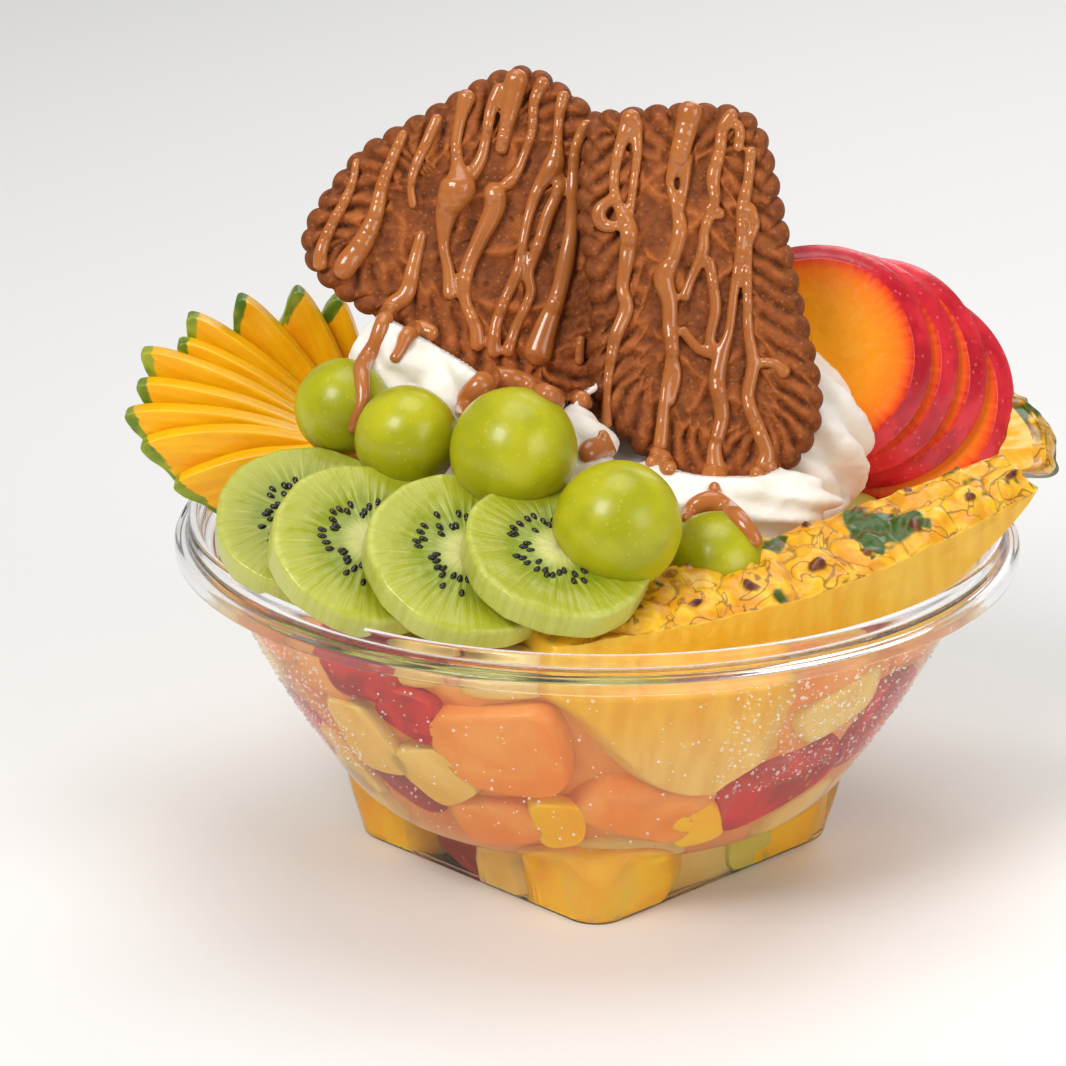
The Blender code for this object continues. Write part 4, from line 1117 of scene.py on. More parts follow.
@dataclass
class KiwiSlices:
    """Peeled kiwi slices, overlapping along the front left of the rim, with their seeds."""

    thick: float = 6.0
    # across, rise, out, radius, tilt up from the leaning plane, turn to the right
    places: tuple = (
        (-55.2, 60.7, 58.7, 17.2, 37.0, 6.0), (-43.1, 56.2, 73.2, 18.4, 37.0, 13.0),
        (-25.2, 54.2, 79.0, 18.6, 38.0, 13.0), (-8.3, 54.9, 81.5, 17.6, 46.0, 12.0),
    )
    seeds_round: int = 44

    def frame_of(self, place: tuple) -> tuple[Array, Array, Array, Array]:
        """A slice's middle, and its right, up and facing directions."""
        across, rise, out, _, tilt, turn = place
        facing = lean_direction(tilt, turn)
        right, up = disc_frame(facing)
        return lean_point(across, rise, out), right, up, facing

    def reach(self, turn: Array, seed: int) -> Array:
        """The outline's share of its radius: round, with slow waves and the flats that peeling leaves."""
        waves = 0.016 * np.sin(2 * turn + seed) + 0.01 * np.sin(5 * turn + 2.3 * seed)
        return 1.0 + waves - 0.012 * np.abs(np.sin(6.5 * turn + seed))

    def skin(self, place: tuple, seed: int) -> Skin:
        """The slice, its faces dished round the core and lined by rays, its rim softly rounded."""
        middle, right, up, facing = self.frame_of(place)
        turn = np.linspace(0.0, 2 * math.pi, 180, endpoint=False)
        outline = place[3] * self.reach(turn, seed)[:, None] * np.stack([np.cos(turn), np.sin(turn)], axis=1)
        shape, depth, rim = plate_rings(outline, self.thick, 0.9, 22)
        far = np.linalg.norm(shape, axis=-1) / place[3]
        angle = np.arctan2(shape[..., 1], shape[..., 0])
        rays = 0.06 * np.sin(self.seeds_round * angle) * ridge(far - 0.6, 0.2)
        dish = 0.35 * ridge(far, 0.2) - 0.3 * ridge(far - 0.42, 0.14) + rays
        face = np.where(depth < self.thick / 2, 1.0, -1.0)
        height = self.thick / 2 - depth
        local = with_depth(shape, height)
        height = height[:, None] + face[:, None] * (1 - rim[:, None]) * dish + 0.12 * rough(local, 3.0, seed)
        rings = middle + shape[..., :1] * right + shape[..., 1:] * up + height[..., None] * facing
        poles = [middle + (self.thick / 2 + 0.35) * sign * facing for sign in (1, -1)]
        own = np.stack([shape[..., 0], shape[..., 1], 0.3 * local[..., 2]], axis=-1) / place[3]
        return closed_skin(rings, poles[0], poles[1], own)

    def seed_skins(self, place: tuple, seed: int) -> list[Skin]:
        """The seeds round the core of both faces: small drops, pointed towards the core."""
        middle, right, up, facing = self.frame_of(place)
        draw = np.random.default_rng(seed)
        skins = []
        for face in (1.0, -1.0):
            turns = (np.arange(self.seeds_round) + draw.uniform(-0.3, 0.3, self.seeds_round)) * 2 * math.pi
            for turn in turns / self.seeds_round:
                far = place[3] * draw.choice((0.33, 0.38, 0.44, 0.5)) * draw.uniform(0.95, 1.05)
                out_way = math.cos(turn) * right + math.sin(turn) * up
                side = np.cross(facing, out_way)
                at = middle + far * out_way + face * (self.thick / 2 - 0.15) * facing
                steps = np.linspace(-1.0, 1.0, 7)
                line = at + 0.95 * steps[:, None] * out_way
                radii = 0.55 * np.sqrt(np.clip(1.0 - steps**2, 0.02, None)) * (1.0 + 0.25 * steps)
                ones = np.ones((7, 1))
                skins.append(tube(line, radii, ones * side, ones * facing, 0.7, 8))
        return skins

    def build(self) -> None:
        """Makes each slice, and all the seeds as one piece."""
        seeds: list[Skin] = []
        for index, place in enumerate(self.places, 1):
            make_piece(f"kiwi_{index}_flesh", [self.skin(place, index)], KIWI, (f"kiwi_slice_{index}",))
            seeds += self.seed_skins(place, index)
        make_piece("kiwi_seeds", seeds, SEED)


@dataclass
class StoneFruitSlices:
    """Round slices of a red-skinned stone fruit, fanned to the right and backwards."""

    thick: float = 4.2
    tilt: float = 4.0
    turn: float = -6.0
    # across, rise, out, radius
    places: tuple = (
        (42.9, 94.7, 16.2, 22.6), (48.4, 93.4, 11.7, 22.8), (54.3, 92.2, 7.2, 23.0), (60.0, 86.6, 2.7, 23.4),
    )

    def skin(self, place: tuple, seed: int) -> Skin:
        """A disc whose skin slopes in towards the front: stations are (inset, depth, skin share)."""
        across, rise, out, radius = place
        facing = lean_direction(self.tilt, self.turn)
        right, up = disc_frame(facing)
        half = self.thick / 2
        face = np.linspace(0.06, 1.0, 24)
        stations = np.array(
            [(radius - (radius - 3.4) * share, half + 0.2 * (1 - share**2), 0.0) for share in face]
            + [(3.2, half - 0.08, 0.5), (3.0, half - 0.3, 1.0), (2.3, half - 0.9, 1.0), (1.5, 0.6, 1.0),
               (0.8, -0.3, 1.0), (0.2, -1.0, 1.0), (0.0, 0.7 - half, 1.0), (0.2, 0.25 - half, 1.0),
               (0.6, -half, 0.6)]
            + [(radius - (radius - 0.8) * share, -half, 0.0) for share in face[::-1]]
        )
        turns = np.linspace(0.0, 2 * math.pi, 200, endpoint=False)
        swell = 1.0 + 0.008 * np.sin(2 * turns + seed) + 0.005 * np.sin(5 * turns + 3 * seed)
        flat = (radius - stations[:, :1]) * swell
        x, y = flat * np.cos(turns), flat * np.sin(turns)
        height = np.broadcast_to(stations[:, 1:2], x.shape)
        local = np.stack([x, y, height], axis=-1)
        height = height + 0.07 * rough(local, 3.0, seed)
        middle = lean_point(across, rise, out)
        rings = middle + x[..., None] * right + y[..., None] * up + height[..., None] * facing
        tone = np.zeros_like(rings)
        tone[..., 0] = stations[:, 2:3]
        own = local / (radius - 3.0)
        return closed_skin(rings, middle + (half + 0.2) * facing, middle - half * facing, own, tone)

    def build(self) -> None:
        """Makes each slice."""
        for index, place in enumerate(self.places, 1):
            node = f"stone_fruit_slice_{index}"
            make_piece(f"stone_fruit_{index}_flesh", [self.skin(place, index)], STONE_FRUIT, (node,))


@dataclass
class MangoFan:
    """Ten mango slices that fan out from a hub at the left, skin at their outer ends, and a loose chunk."""

    thick: float = 4.9
    step: float = 5.6
    front: float = -8.0
    hub: tuple = (-51.7, 78.5)
    hub_drop: float = 2.0
    half_width: float = 8.6
    first_share: float = 0.82
    # length, and angle above level, front to back
    slices: tuple = (
        (30.2, -13.5), (36.9, 0.3), (41.5, 9.3), (41.8, 18.3), (44.6, 27.0),
        (40.5, 34.3), (43.3, 41.7), (41.2, 55.3), (39.2, 70.8), (36.9, 81.7),
    )
    chunk_place: tuple = (-67.5, -25.0, 69.5)
    chunk_thick: float = 9.0
    chunk_outline: tuple = ((-5.5, -4.5), (5.0, -5.0), (5.8, 4.2), (-4.8, 5.0))

    def skin(self, index: int, length: float, degrees: float) -> Skin:
        """One slice: a smooth outline with the skin round its outer end, bowed a little along its length."""
        angle = math.radians(degrees)
        right = np.array((-math.cos(angle), 0.0, math.sin(angle)))
        up = np.array((math.sin(angle), 0.0, math.cos(angle)))
        back = np.array((0.0, 1.0, 0.0))
        hub = np.array((self.hub[0], self.front + index * self.step, self.hub[1] - index * self.hub_drop))
        wide = self.half_width * (self.first_share if index == 0 else 1.0)
        knots = (
            (-5.0, -0.45 * wide), (6.0, -0.7 * wide), (0.5 * length, -0.8 * wide),
            (0.75 * length, -0.55 * wide), (length - 4.4, 0.6 * wide - 5.0),
            (length - 1.2, 0.6 * wide - 2.6), (length, 0.6 * wide), (0.84 * length, 0.85 * wide),
            (0.5 * length, 0.98 * wide), (6.0, 0.8 * wide), (-5.0, 0.45 * wide),
        )
        outline = smooth_curve(knots, 150, closed=True)
        shape, depth, rim = plate_rings(outline, self.thick, 0.55, 14)
        share = shape[..., 0] / length
        local = with_depth(shape, depth)
        bow = 0.5 * np.sin(math.pi * np.clip(share, 0, 1)) * math.sin(2.1 * index)
        deep = depth[:, None] + 0.2 * rough(local, 6.0, index) * (1 - 0.5 * rim[:, None]) + 0.3 * bow
        rings = hub + shape[..., :1] * right + shape[..., 1:] * up + deep[..., None] * back
        tone = np.zeros_like(rings)
        tip, heel, under = (np.array(knots[k]) for k in (6, 4, 3))
        for start, stop, width in ((tip, heel, 1.1), (heel, under, 0.45)):
            way = unit(stop - start)
            inside = (shape - start) @ np.array((way[1], -way[0])) * -1.0
            away = np.abs((shape - 0.5 * (start + stop)) @ way) / np.linalg.norm(stop - start)
            depth_in = np.abs(inside) + 0.3 * rough(local, 3.0, index + 20)
            skin = ease(1.0 - away, 0.3, 0.5) * (1.0 - ease(depth_in, width, width + 0.8))
            tone[..., 0] = np.maximum(tone[..., 0], skin)
        # Painted light mask: 0 at the slice's lower side to 1 at its upper side, where the finish lightens
        # the flesh.
        tone[..., 1] = ease(shape[..., 1] / wide, -0.6, 0.8)
        middle = outline.mean(axis=0)
        pole = hub + middle[0] * right + middle[1] * up
        return closed_skin(rings, pole, pole + self.thick * back, local, tone)

    def chunk(self) -> Skin:
        """The loose chunk in front of the fan."""
        right, up = unit(np.array((0.75, -0.6, 0.2))), unit(np.array((-0.1, 0.2, 1.0)))
        up = unit(up - np.dot(up, right) * right)
        back = np.cross(up, right)
        outline = smooth_curve(self.chunk_outline, 80, closed=True)
        shape, depth, _ = plate_rings(outline, self.chunk_thick, 1.4, 8)
        rings = np.array(self.chunk_place) + shape[..., :1] * right + shape[..., 1:] * up
        rings = rings + depth[:, None, None] * back
        rings = rings + 0.25 * rough(rings, 4.0, 3)[..., None]
        pole = np.array(self.chunk_place)
        return closed_skin(rings, pole, pole + self.chunk_thick * back)

    def build(self) -> None:
        """Makes each slice and the chunk."""
        for index, (length, degrees) in enumerate(self.slices):
            node = f"mango_slice_{index + 1}"
            make_piece(f"mango_{index + 1}_flesh", [self.skin(index, length, degrees)], MANGO, (node,))
        make_piece("mango_chunk_flesh", [self.chunk()], MANGO, ("mango_chunk",))


# Pineapple


@dataclass
class Rind:
    """The eyes of a pineapple's rind, laid out in staggered rows."""

    pitch: float = 12.0
    row: float = 8.4
    high: float = 1.2

    def relief(self, along: Array, over: Array, seed: int) -> tuple[Array, Array, Array]:
        """The rind's height, how near an eye's middle each point is, and how near a groove.

        Each eye is a dome 1 - d^2 of the distance d from the middle of its staggered cell, with a small
        peak in a dimple, and the grooves are where two eyes are as near as each other.

        Args:
            along: distance along the rind.
            over: distance over it.
            seed: which unevenness.

        Returns:
            Height, eye share and groove share.
        """
        spot = np.stack([along, over, np.zeros_like(along)], axis=-1)
        along = along + 2.2 * rough(spot, 6.0, seed)
        over = over + 1.8 * rough(spot, 6.0, seed + 1)
        level = np.floor(over / self.row)
        best = np.full(along.shape, 9.0)
        second = np.full(along.shape, 9.0)
        for lift in (-1, 0, 1):
            line = level + lift
            shift = 0.5 * (line % 2)
            for push in (-1, 0, 1):
                cell = np.floor(along / self.pitch - shift) + push
                dx = (along / self.pitch - shift - cell - 0.5) * self.pitch
                dy = (over / self.row - line - 0.5) * self.row
                gap = np.hypot(dx / (0.5 * self.pitch), dy / (0.55 * self.row))
                second = np.minimum(second, np.maximum(best, gap))
                best = np.minimum(best, gap)
        dome = self.high * np.clip(1.0 - best**2, 0.0, 1.0)
        peak = 0.7 * ridge(best, 0.16) - 0.5 * ridge(best - 0.3, 0.12)
        groove = 1.0 - ease(second - best, 0.02, 0.28)
        height = dome + peak - 0.6 * groove + 0.55 * rough(spot, 2.2, seed + 2)
        return height, np.clip(1.1 - 1.9 * best, 0.0, 1.0), groove


@dataclass
class PineappleSlices:
    """Two thick slices: one stands along the front right of the rim, one behind the stone fruit."""

    rind: Rind = field(default_factory=Rind)
    thick: float = 12.0
    ends: tuple = ((-8.5, -71.3, 67.2), (84.0, -21.0, 80.7))
    tip: tuple = (17.0, -53.8, 31.0)
    slant: float = 3.0
    dip: float = 1.5
    bow: float = 8.0
    into_wall: float = 0.12
    rim_foot: float = 62.0
    free_turns: tuple = (27.0, 37.0)
    free_heights: tuple = (57.0, 62.5)
    side_thick: float = 10.0
    side_ripe: float = 20.0
    side_corner: tuple = (88.2, 72.5, 8.0)
    side_looks: tuple = (-0.34, 0.1225, 1.0)
    side_outline: tuple = (
        (0.0, 0.0), (1.5, 4.0), (1.2, 8.0), (-0.8, 11.5), (-4.0, 15.0), (-9.0, 18.0), (-17.0, 21.5),
        (-32.0, 20.0), (-46.0, 10.0), (-51.0, -4.0), (-44.0, -11.0), (-24.0, -9.5), (-17.0, -0.2),
    )

    def front_outline(self, length: float, drop: float, reach: float) -> tuple[Array, Array]:
        """The front slice's outline in its own plane, and 1 along its rind to 0 along its flesh.

        Args:
            length: how long the rind is.
            drop: the tip's height from the rind, which is negative.
            reach: how far along the rind the tip is.

        Returns:
            The outline and the rind's share at each of its points.
        """
        share = np.linspace(0.0, 1.0, 170)
        rind = np.stack([length * share, -self.dip * np.sin(math.pi * share)], axis=1)
        flesh = smooth_curve([
            rind[-1], (0.93 * length, -5.0), (0.7 * length, 0.42 * drop), (reach + 10, 0.9 * drop),
            (reach + 3, drop), (reach - 8, 0.84 * drop), (6.0, 0.4 * drop), (-1.0, -8.0), rind[0]], 150)[1:-1]
        ends = ease(share, 0.0, 0.03) * ease(1 - share, 0.0, 0.015)
        return np.concatenate([rind, flesh]), np.concatenate([ends, np.zeros(len(flesh))])

    def front_skin(self, cup: Cup) -> Skin:
        """The front slice: a long knobbly rind on top, and flesh that narrows to a tip inside the wall."""
        left, right = (np.array(end) for end in self.ends)
        tip = np.array(self.tip)
        along = unit(right - left)
        inward = unit(np.cross(along, tip - left))
        inward = inward if inward[1] > 0 else -inward
        up = unit(np.cross(inward, along))
        up = up if up[2] > 0 else -up
        length, drop = np.linalg.norm(right - left), np.dot(tip - left, up)
        reach = np.dot(tip - left, along)
        outline, on_rind = self.front_outline(length, drop, reach)
        shape, depth, rim = plate_rings(outline, self.thick, 0.7, 26)
        side = (depth > 0.2) & (depth < self.thick - 0.2)
        extra = np.linspace(0.7, self.thick - 0.7, 30)
        first, last = int(np.argmax(side)), len(side) - int(np.argmax(side[::-1]))
        edge = np.broadcast_to(outline, (len(extra), *outline.shape))
        shape = np.concatenate([shape[:first], edge, shape[last:]])
        depth = np.concatenate([depth[:first], extra, depth[last:]])
        rim = np.concatenate([rim[:first], np.ones(len(extra)), rim[last:]])
        over = depth / self.thick
        middle = outline.mean(axis=0)
        arm = np.linalg.norm(outline - middle, axis=1)
        out_share = np.clip(np.linalg.norm(shape - middle, axis=-1) / arm, 0, 1)
        lift = (self.slant * over + 1.6 * np.sin(math.pi * over))[:, None] * on_rind * out_share**3
        local = with_depth(shape, depth)
        height, eye, groove = self.rind.relief(local[..., 0], local[..., 2] * 1.25, 4)
        on_edge = rim[:, None] * on_rind
        lift = lift + on_edge * 0.8 * (height - 0.5)
        rings = left + shape[..., :1] * along + (shape[..., 1] + lift)[..., None] * up
        deep = depth[:, None] + (1 - rim[:, None]) * 0.2 * rough(local * (1.0, 0.25, 1.0), 2.4, 8)
        bowed = np.sin(math.pi * np.clip(shape[..., 0] / length, 0, 1))
        bowed = bowed * np.clip(1 - shape[..., 1] / drop, 0, 1)
        deep = deep - self.bow * bowed * (1 - over[:, None])
        rings = rings + deep[..., None] * inward
        turned = np.degrees(np.arctan2(rings[..., 0], -rings[..., 1]))
        free = ease(turned, *self.free_turns)
        press = (1 - over[:, None]) * (1 - ease(rings[..., 2], *self.free_heights)) * (1 - free)
        rings = cup.pressed(rings, press, self.into_wall)
        within = (rings[..., 2] < self.rim_foot)[..., None]
        rings = np.where(within, cup.kept_inside(rings, self.into_wall), rings)
        tone = np.stack([np.clip(on_edge * 1.4, 0, 1), eye, groove], axis=-1)
        pole = left + middle[0] * along + middle[1] * up
        bulge = self.bow * math.sin(math.pi * middle[0] / length) * (1 - middle[1] / drop)
        poles = np.stack([pole - bulge * inward, pole + self.thick * inward])
        poles = cup.kept_inside(poles, self.into_wall)
        return closed_skin(rings, poles[0], poles[1], local, tone)

    def side_skin(self) -> Skin:
        """The side slice: the first eight knots of its outline are rind, and the rest is flesh."""
        corner = lean_point(*self.side_corner)
        facing = unit(lean_point(*self.side_looks))
        right = unit(ACROSS - np.dot(ACROSS, facing) * facing)
        up = unit(np.cross(facing, right))
        outline = smooth_curve(self.side_outline, 260, closed=True)
        shape, depth, rim = plate_rings(outline, self.side_thick, 0.7, 24)
        on_rind = ease(outline[:, 0] + 0.9 * outline[:, 1], -9.0, -4.0)
        local = with_depth(shape, depth)
        height, eye, groove = self.rind.relief(shape[..., 1] * 1.2, local[..., 2] * 1.1, 9)
        arm = unit(shape - outline.mean(axis=0))
        on_edge = rim[:, None] * on_rind
        shape = shape + (0.6 * on_edge * (height - 0.8))[..., None] * arm
        deep = depth[:, None] + (1 - rim[:, None]) * 0.3 * rough(local * (0.25, 1.0, 1.0), 2.4, 12)
        rings = corner + shape[..., :1] * right + shape[..., 1:] * up - deep[..., None] * facing
        far = np.linalg.norm(local[..., :2] - outline.mean(axis=0), axis=-1)
        reach = np.linalg.norm(outline - outline.mean(axis=0), axis=1)
        band = ease(far / reach, 0.84, 0.93) * on_rind
        tone = np.stack([np.clip(np.maximum(on_edge, band) * 1.4, 0, 1), eye, groove], axis=-1)
        middle = outline.mean(axis=0)
        pole = corner + middle[0] * right + middle[1] * up
        own = local[..., (1, 0, 2)] + (0, self.side_ripe, 0)
        return closed_skin(rings, pole, pole - self.side_thick * facing, own, tone)

    def build(self, cup: Cup) -> None:
        """Makes both slices."""
        make_piece("pineapple_1_flesh", [self.front_skin(cup)], PINEAPPLE, ("pineapple_slice_1",))
        make_piece("pineapple_2_flesh", [self.side_skin()], PINEAPPLE, ("pineapple_slice_2",))


# Cream, biscuits and sauce


@dataclass
class Cream:
    """Whipped cream: a mound under the biscuits with piped lobes at both sides, run together."""

    floor: float = 62.8
    twist: float = 1.6
    voxel: float = 0.75
    # middle, radii, way up, ridges, depth of ridges, lift of the peak
    lobes: tuple = (
        ((3, -4, 69.5), (44, 30, 11), (0.0, -0.1, 1.0), 9, 0.07, 0.0),
        ((8, 22, 84), (26, 14, 14), (0.0, -0.1, 1.0), 7, 0.12, 3.0),
    )
    # the same with the middle on the leaning planes
    leaning_lobes: tuple = (
        ((-38, 90, 38), (9.5, 8, 11), (-0.15, 0.0, 1.0), 5, 0.16, 2.5),
        ((-26, 86, 39), (10.5, 8, 11), (0.2, 0.0, 1.0), 5, 0.16, 3.0),
        ((33, 77, 23), (18, 13, 19), (0.15, 0.25, 1.0), 7, 0.2, 2.0),
        ((-10, 74, 47), (13, 9, 11), (0.0, -0.1, 1.0), 5, 0.12, 0.0),
        ((-12, 88, 43), (11, 7, 5), (0.0, -0.1, 1.0), 4, 0.08, 0.0),
        ((20, 66, 44), (24, 9, 8), (0.0, -0.1, 1.0), 6, 0.12, 0.0),
    )

    def lobe(
        self, middle: Array, radii: tuple, upward: tuple, ridges: int, depth: float, lift: float
    ) -> Skin:
        """A piped lobe: an egg whose radius swells by depth times |cos(ridges (t + twist h) / 2)|."""
        up = unit(np.array(upward))
        side = unit(np.cross(up, (0.0, 1.0, 0.1)))
        front = np.cross(up, side)
        turn = np.linspace(0.0, 2 * math.pi, 140, endpoint=False)[None, :]
        polar = np.linspace(math.pi, 0.0, 60)[1:-1, None]
        height = np.cos(polar)
        wind = turn + self.twist * height
        swell = 1 + depth * (2 * np.abs(np.cos(ridges * wind / 2)) ** 0.8 - 1) * np.sin(polar)
        flat = np.sin(polar) * swell
        rise = (height * radii[2] + lift * np.maximum(height, 0) ** 4) * np.ones_like(turn)
        rings = (middle + (flat * radii[0] * np.cos(turn))[..., None] * side
                 + (flat * radii[1] * np.sin(turn))[..., None] * front + rise[..., None] * up)
        rings[..., 2] = np.maximum(rings[..., 2], self.floor - 0.02 * (self.floor - rings[..., 2]))
        ends = [middle - radii[2] * up, middle + (radii[2] + lift) * up]
        ends[0][2] = max(ends[0][2], self.floor - 0.5)
        return closed_skin(rings, ends[0], ends[1])

    @staticmethod
    def behind(points: Array, biscuit: "Biscuit") -> Array:
        """Points drawn back until none stands in front of a biscuit's face."""
        flat = np.stack([points @ ACROSS, points @ RISE], axis=-1)
        inset, _ = biscuit.nearest(flat)
        limit = biscuit.out - 0.5 * biscuit.thick + 30.0 * (1 - ease(inset, -0.2, 1.4))
        out = points @ OUT
        return points + np.minimum(limit - out, 0.0)[:, None] * OUT

    def build(self, biscuits: list["Biscuit"]) -> bpy.types.Object:
        """Makes the cream as one piece, which leaves the biscuits' faces free."""
        lobes = [self.lobe(np.array(place, float), *rest) for place, *rest in self.lobes]
        lobes += [self.lobe(lean_point(*place), *rest) for place, *rest in self.leaning_lobes]
        skin = fused(lobes, self.voxel, 3)
        folds = 0.6 * rough(skin.points * (1.0, 1.0, 1.6), 7.0, 3) + 0.16 * rough(skin.points, 1.8, 4)
        skin.points = skin.points + folds[:, None] * point_normals(skin)
        for biscuit in biscuits:
            skin.points = self.behind(skin.points, biscuit)
        return make_piece("whipped_cream_mound", [skin], CREAM, ("whipped_cream",))


@dataclass
class Biscuit:
    """A rounded oblong biscuit: plump scallops, slanted bars that run in to a frame, and a lattice.

    Its places are (across, rise) on its leaning plane.
    """

    name: str
    knots: tuple
    out: float
    turn: float
    seed: int
    thick: float = 8.0
    softness: float = 0.046
    scallop: float = 4.7
    scallop_depth: float = 1.1
    frame_inset: float = 9.6
    slant: float = 0.9
    lattice: float = 11.0

    def edge(self, count: int) -> tuple[Array, Array, Array, Array]:
        """The edge at even steps: its places, the way along it, the way out of it, and the distance gone."""
        ring = np.array((*self.knots, self.knots[0]), float)
        reach = np.concatenate([[0.0], np.cumsum(np.linalg.norm(np.diff(ring, axis=0), axis=1))])
        at = np.arange(count) / count * reach[-1]
        line = np.stack([np.interp(at, reach, ring[:, k]) for k in (0, 1)], axis=1)
        window = round(count * self.softness)
        line = sum(np.roll(line, shift, axis=0) for shift in range(window)) / window
        way = unit(np.roll(line, -1, axis=0) - np.roll(line, 1, axis=0))
        steps = np.linalg.norm(np.roll(line, -1, axis=0) - line, axis=1)
        return line, way, np.stack([-way[:, 1], way[:, 0]], axis=1), np.cumsum(steps)

    def nearest(self, flat: Array) -> tuple[Array, Array]:
        """How far a place is inside the edge, and the distance gone along the edge where it is nearest."""
        line, way, outward, gone = self.edge(240)
        spots = flat.reshape(-1, 2)
        near = np.argmin((line**2).sum(axis=1) - 2.0 * spots @ line.T, axis=1)
        apart = spots - line[near]
        inset = -(apart * outward[near]).sum(axis=1)
        along = gone[near] + (apart * way[near]).sum(axis=1)
        return inset.reshape(flat.shape[:-1]), along.reshape(flat.shape[:-1])

    def pitch(self) -> float:
        """The distance between scallops that fits a whole number round the edge."""
        length = self.edge(240)[3][-1]
        return length / round(length / self.scallop)

    def world(self, flat: Array, height: Array) -> Array:
        """World places of points on its face at a height over it."""
        return lean_point(flat[..., 0], flat[..., 1], self.out + np.asarray(height))

    def relief(self, flat: Array) -> Array:
        """The raised pattern.

        A bar's height is |sin(pi s / pitch)| to a power, where s is the distance along the edge plus slant
        times the inset, so that each scallop runs on inwards as a slanted bar.
        """
        middle = np.array(self.knots).mean(axis=0)
        angle = math.radians(self.turn)
        dx, dy = flat[..., 0] - middle[0], flat[..., 1] - middle[1]
        x, y = dx * math.cos(angle) + dy * math.sin(angle), dy * math.cos(angle) - dx * math.sin(angle)
        spot = np.stack([x, y, np.full_like(x, 3.0 * self.seed)], axis=-1)
        inset, along = self.nearest(flat)
        inset = inset + 0.35 * rough(spot, 5.0, self.seed + 1)
        side = 2.0 * ease(x, -2.0, 2.0) - 1.0
        phase = along + side * self.slant * (inset - 2.0) + 0.6 * rough(spot, 4.0, self.seed)
        bars = np.abs(np.sin(math.pi * phase / self.pitch())) ** 0.8
        band = ease(inset, 1.0, 3.0) * (1 - ease(inset, self.frame_inset - 1.4, self.frame_inset - 0.2))
        worn = 0.75 + 0.4 * rough(spot, 5.0, self.seed + 8)
        weave = 0.9 * np.sin(2 * math.pi * phase / self.pitch())
        frame_ridge = 0.9 * ridge(inset - self.frame_inset + weave, 0.95)
        panel = ease(inset, self.frame_inset + 1.4, self.frame_inset + 2.4)
        bent = 1.6 * rough(spot, 7.0, self.seed + 2)
        lines = [(x + sign * y + bent) / math.sqrt(2.0) for sign in (1, -1)]
        away = [np.abs((line / self.lattice + 0.5) % 1.0 - 0.5) * self.lattice for line in lines]
        broken = ease(rough(spot, 7.0, self.seed + 3), -0.35, 0.15)
        lattice = 0.95 * np.maximum(ridge(away[0], 1.05), ridge(away[1], 1.05)) * broken
        framed = worn * frame_ridge * ease(inset, 5.0, 7.0)
        return band * worn * (1.5 * bars - 0.75) + framed + panel * lattice

    def crumb(self, flat: Array) -> Array:
        """The baked surface's roughness, with small pits."""
        spot = np.stack([flat[..., 0], flat[..., 1], np.full(flat.shape[:-1], 5.0 * self.seed)], axis=-1)
        pits = ease(rough(spot, 2.4, self.seed + 7), 0.45, 0.8)
        coarse, fine = rough(spot, 3.0, self.seed + 5, 3), rough(spot, 0.9, self.seed + 6)
        return 0.16 * coarse + 0.09 * fine - 0.35 * pits

    def skin(self) -> Skin:
        """The face, the plump scalloped edge and a plainer back."""
        line, _, outward, gone = self.edge(520)
        middle = line.mean(axis=0)
        full = np.abs(np.sin(math.pi * gone / self.pitch())) ** 0.6
        front = np.linspace(0.02, 1.0, 96) ** 0.85
        scallop = (self.scallop_depth * full - 0.8)[:, None] * outward
        shape = middle + front[:, None, None] * (line - middle) + (front**8)[:, None, None] * scallop
        inset = (1.0 - front)[:, None] * np.linalg.norm(line - middle, axis=1)
        inset = np.minimum(inset, np.clip(self.nearest(shape)[0], 0.0, None) + 0.4)
        bend = np.clip(1.0 - inset / 2.4, 0.0, 1.0)
        plump = (1.3 * full - 0.75) * ease(4.5 - inset, 0.0, 2.2)
        relief = self.relief(shape) * ease(inset, 1.0, 2.6)
        height = relief + self.crumb(shape) + plump - 2.4 * (1.0 - np.sqrt(1.0 - bend**2 * 0.999))
        rows = [self.world(shape, height)]
        # Painted light and shade: the face's tone follows its relief, lighter on ridges and darker in
        # hollows, with crumb variation.
        shading_and_crumb = [relief + 0.1 * plump + 0.8 * self.crumb(shape)]
        rim, low = shape[-1], height[-1]
        for drop, pull in ((0.25, -0.25), (0.45, -0.3), (0.65, -0.15), (0.85, 0.5), (1.0, 1.8)):
            ring = rim - pull * outward
            level = low * (1 - drop) - self.thick * drop + 0.15 * self.crumb(ring)
            rows.append(self.world(ring, level)[None])
            # Painted shade on the edge: darker in the notches between scallops, less so further down the
            # side.
            shading_and_crumb.append((0.4 * full - 0.4)[None] * (1 - drop))
        back = np.linspace(1.0, 0.03, 26)[1:]
        ring = middle + back[:, None, None] * (rim - 1.8 * outward - middle)
        rows.append(self.world(ring, -self.thick + 0.5 * self.crumb(ring)))
        shading_and_crumb.append(0.6 * self.crumb(ring))
        rings = np.concatenate(rows)
        tone = np.zeros_like(rings)
        # The finish reads this as painted light and shade over the crumb, 0.42 where the surface is level.
        tone[..., 0] = 0.42 + 0.4 * np.concatenate(shading_and_crumb)
        ends = self.world(middle, np.array(0.0)), self.world(middle, np.array(-self.thick))
        return closed_skin(rings, ends[0], ends[1], tone=tone)

    def build(self) -> bpy.types.Object:
        """Makes the biscuit."""
        return make_piece(f"{self.name}_crumb", [self.skin()], BISCUIT, (self.name,))


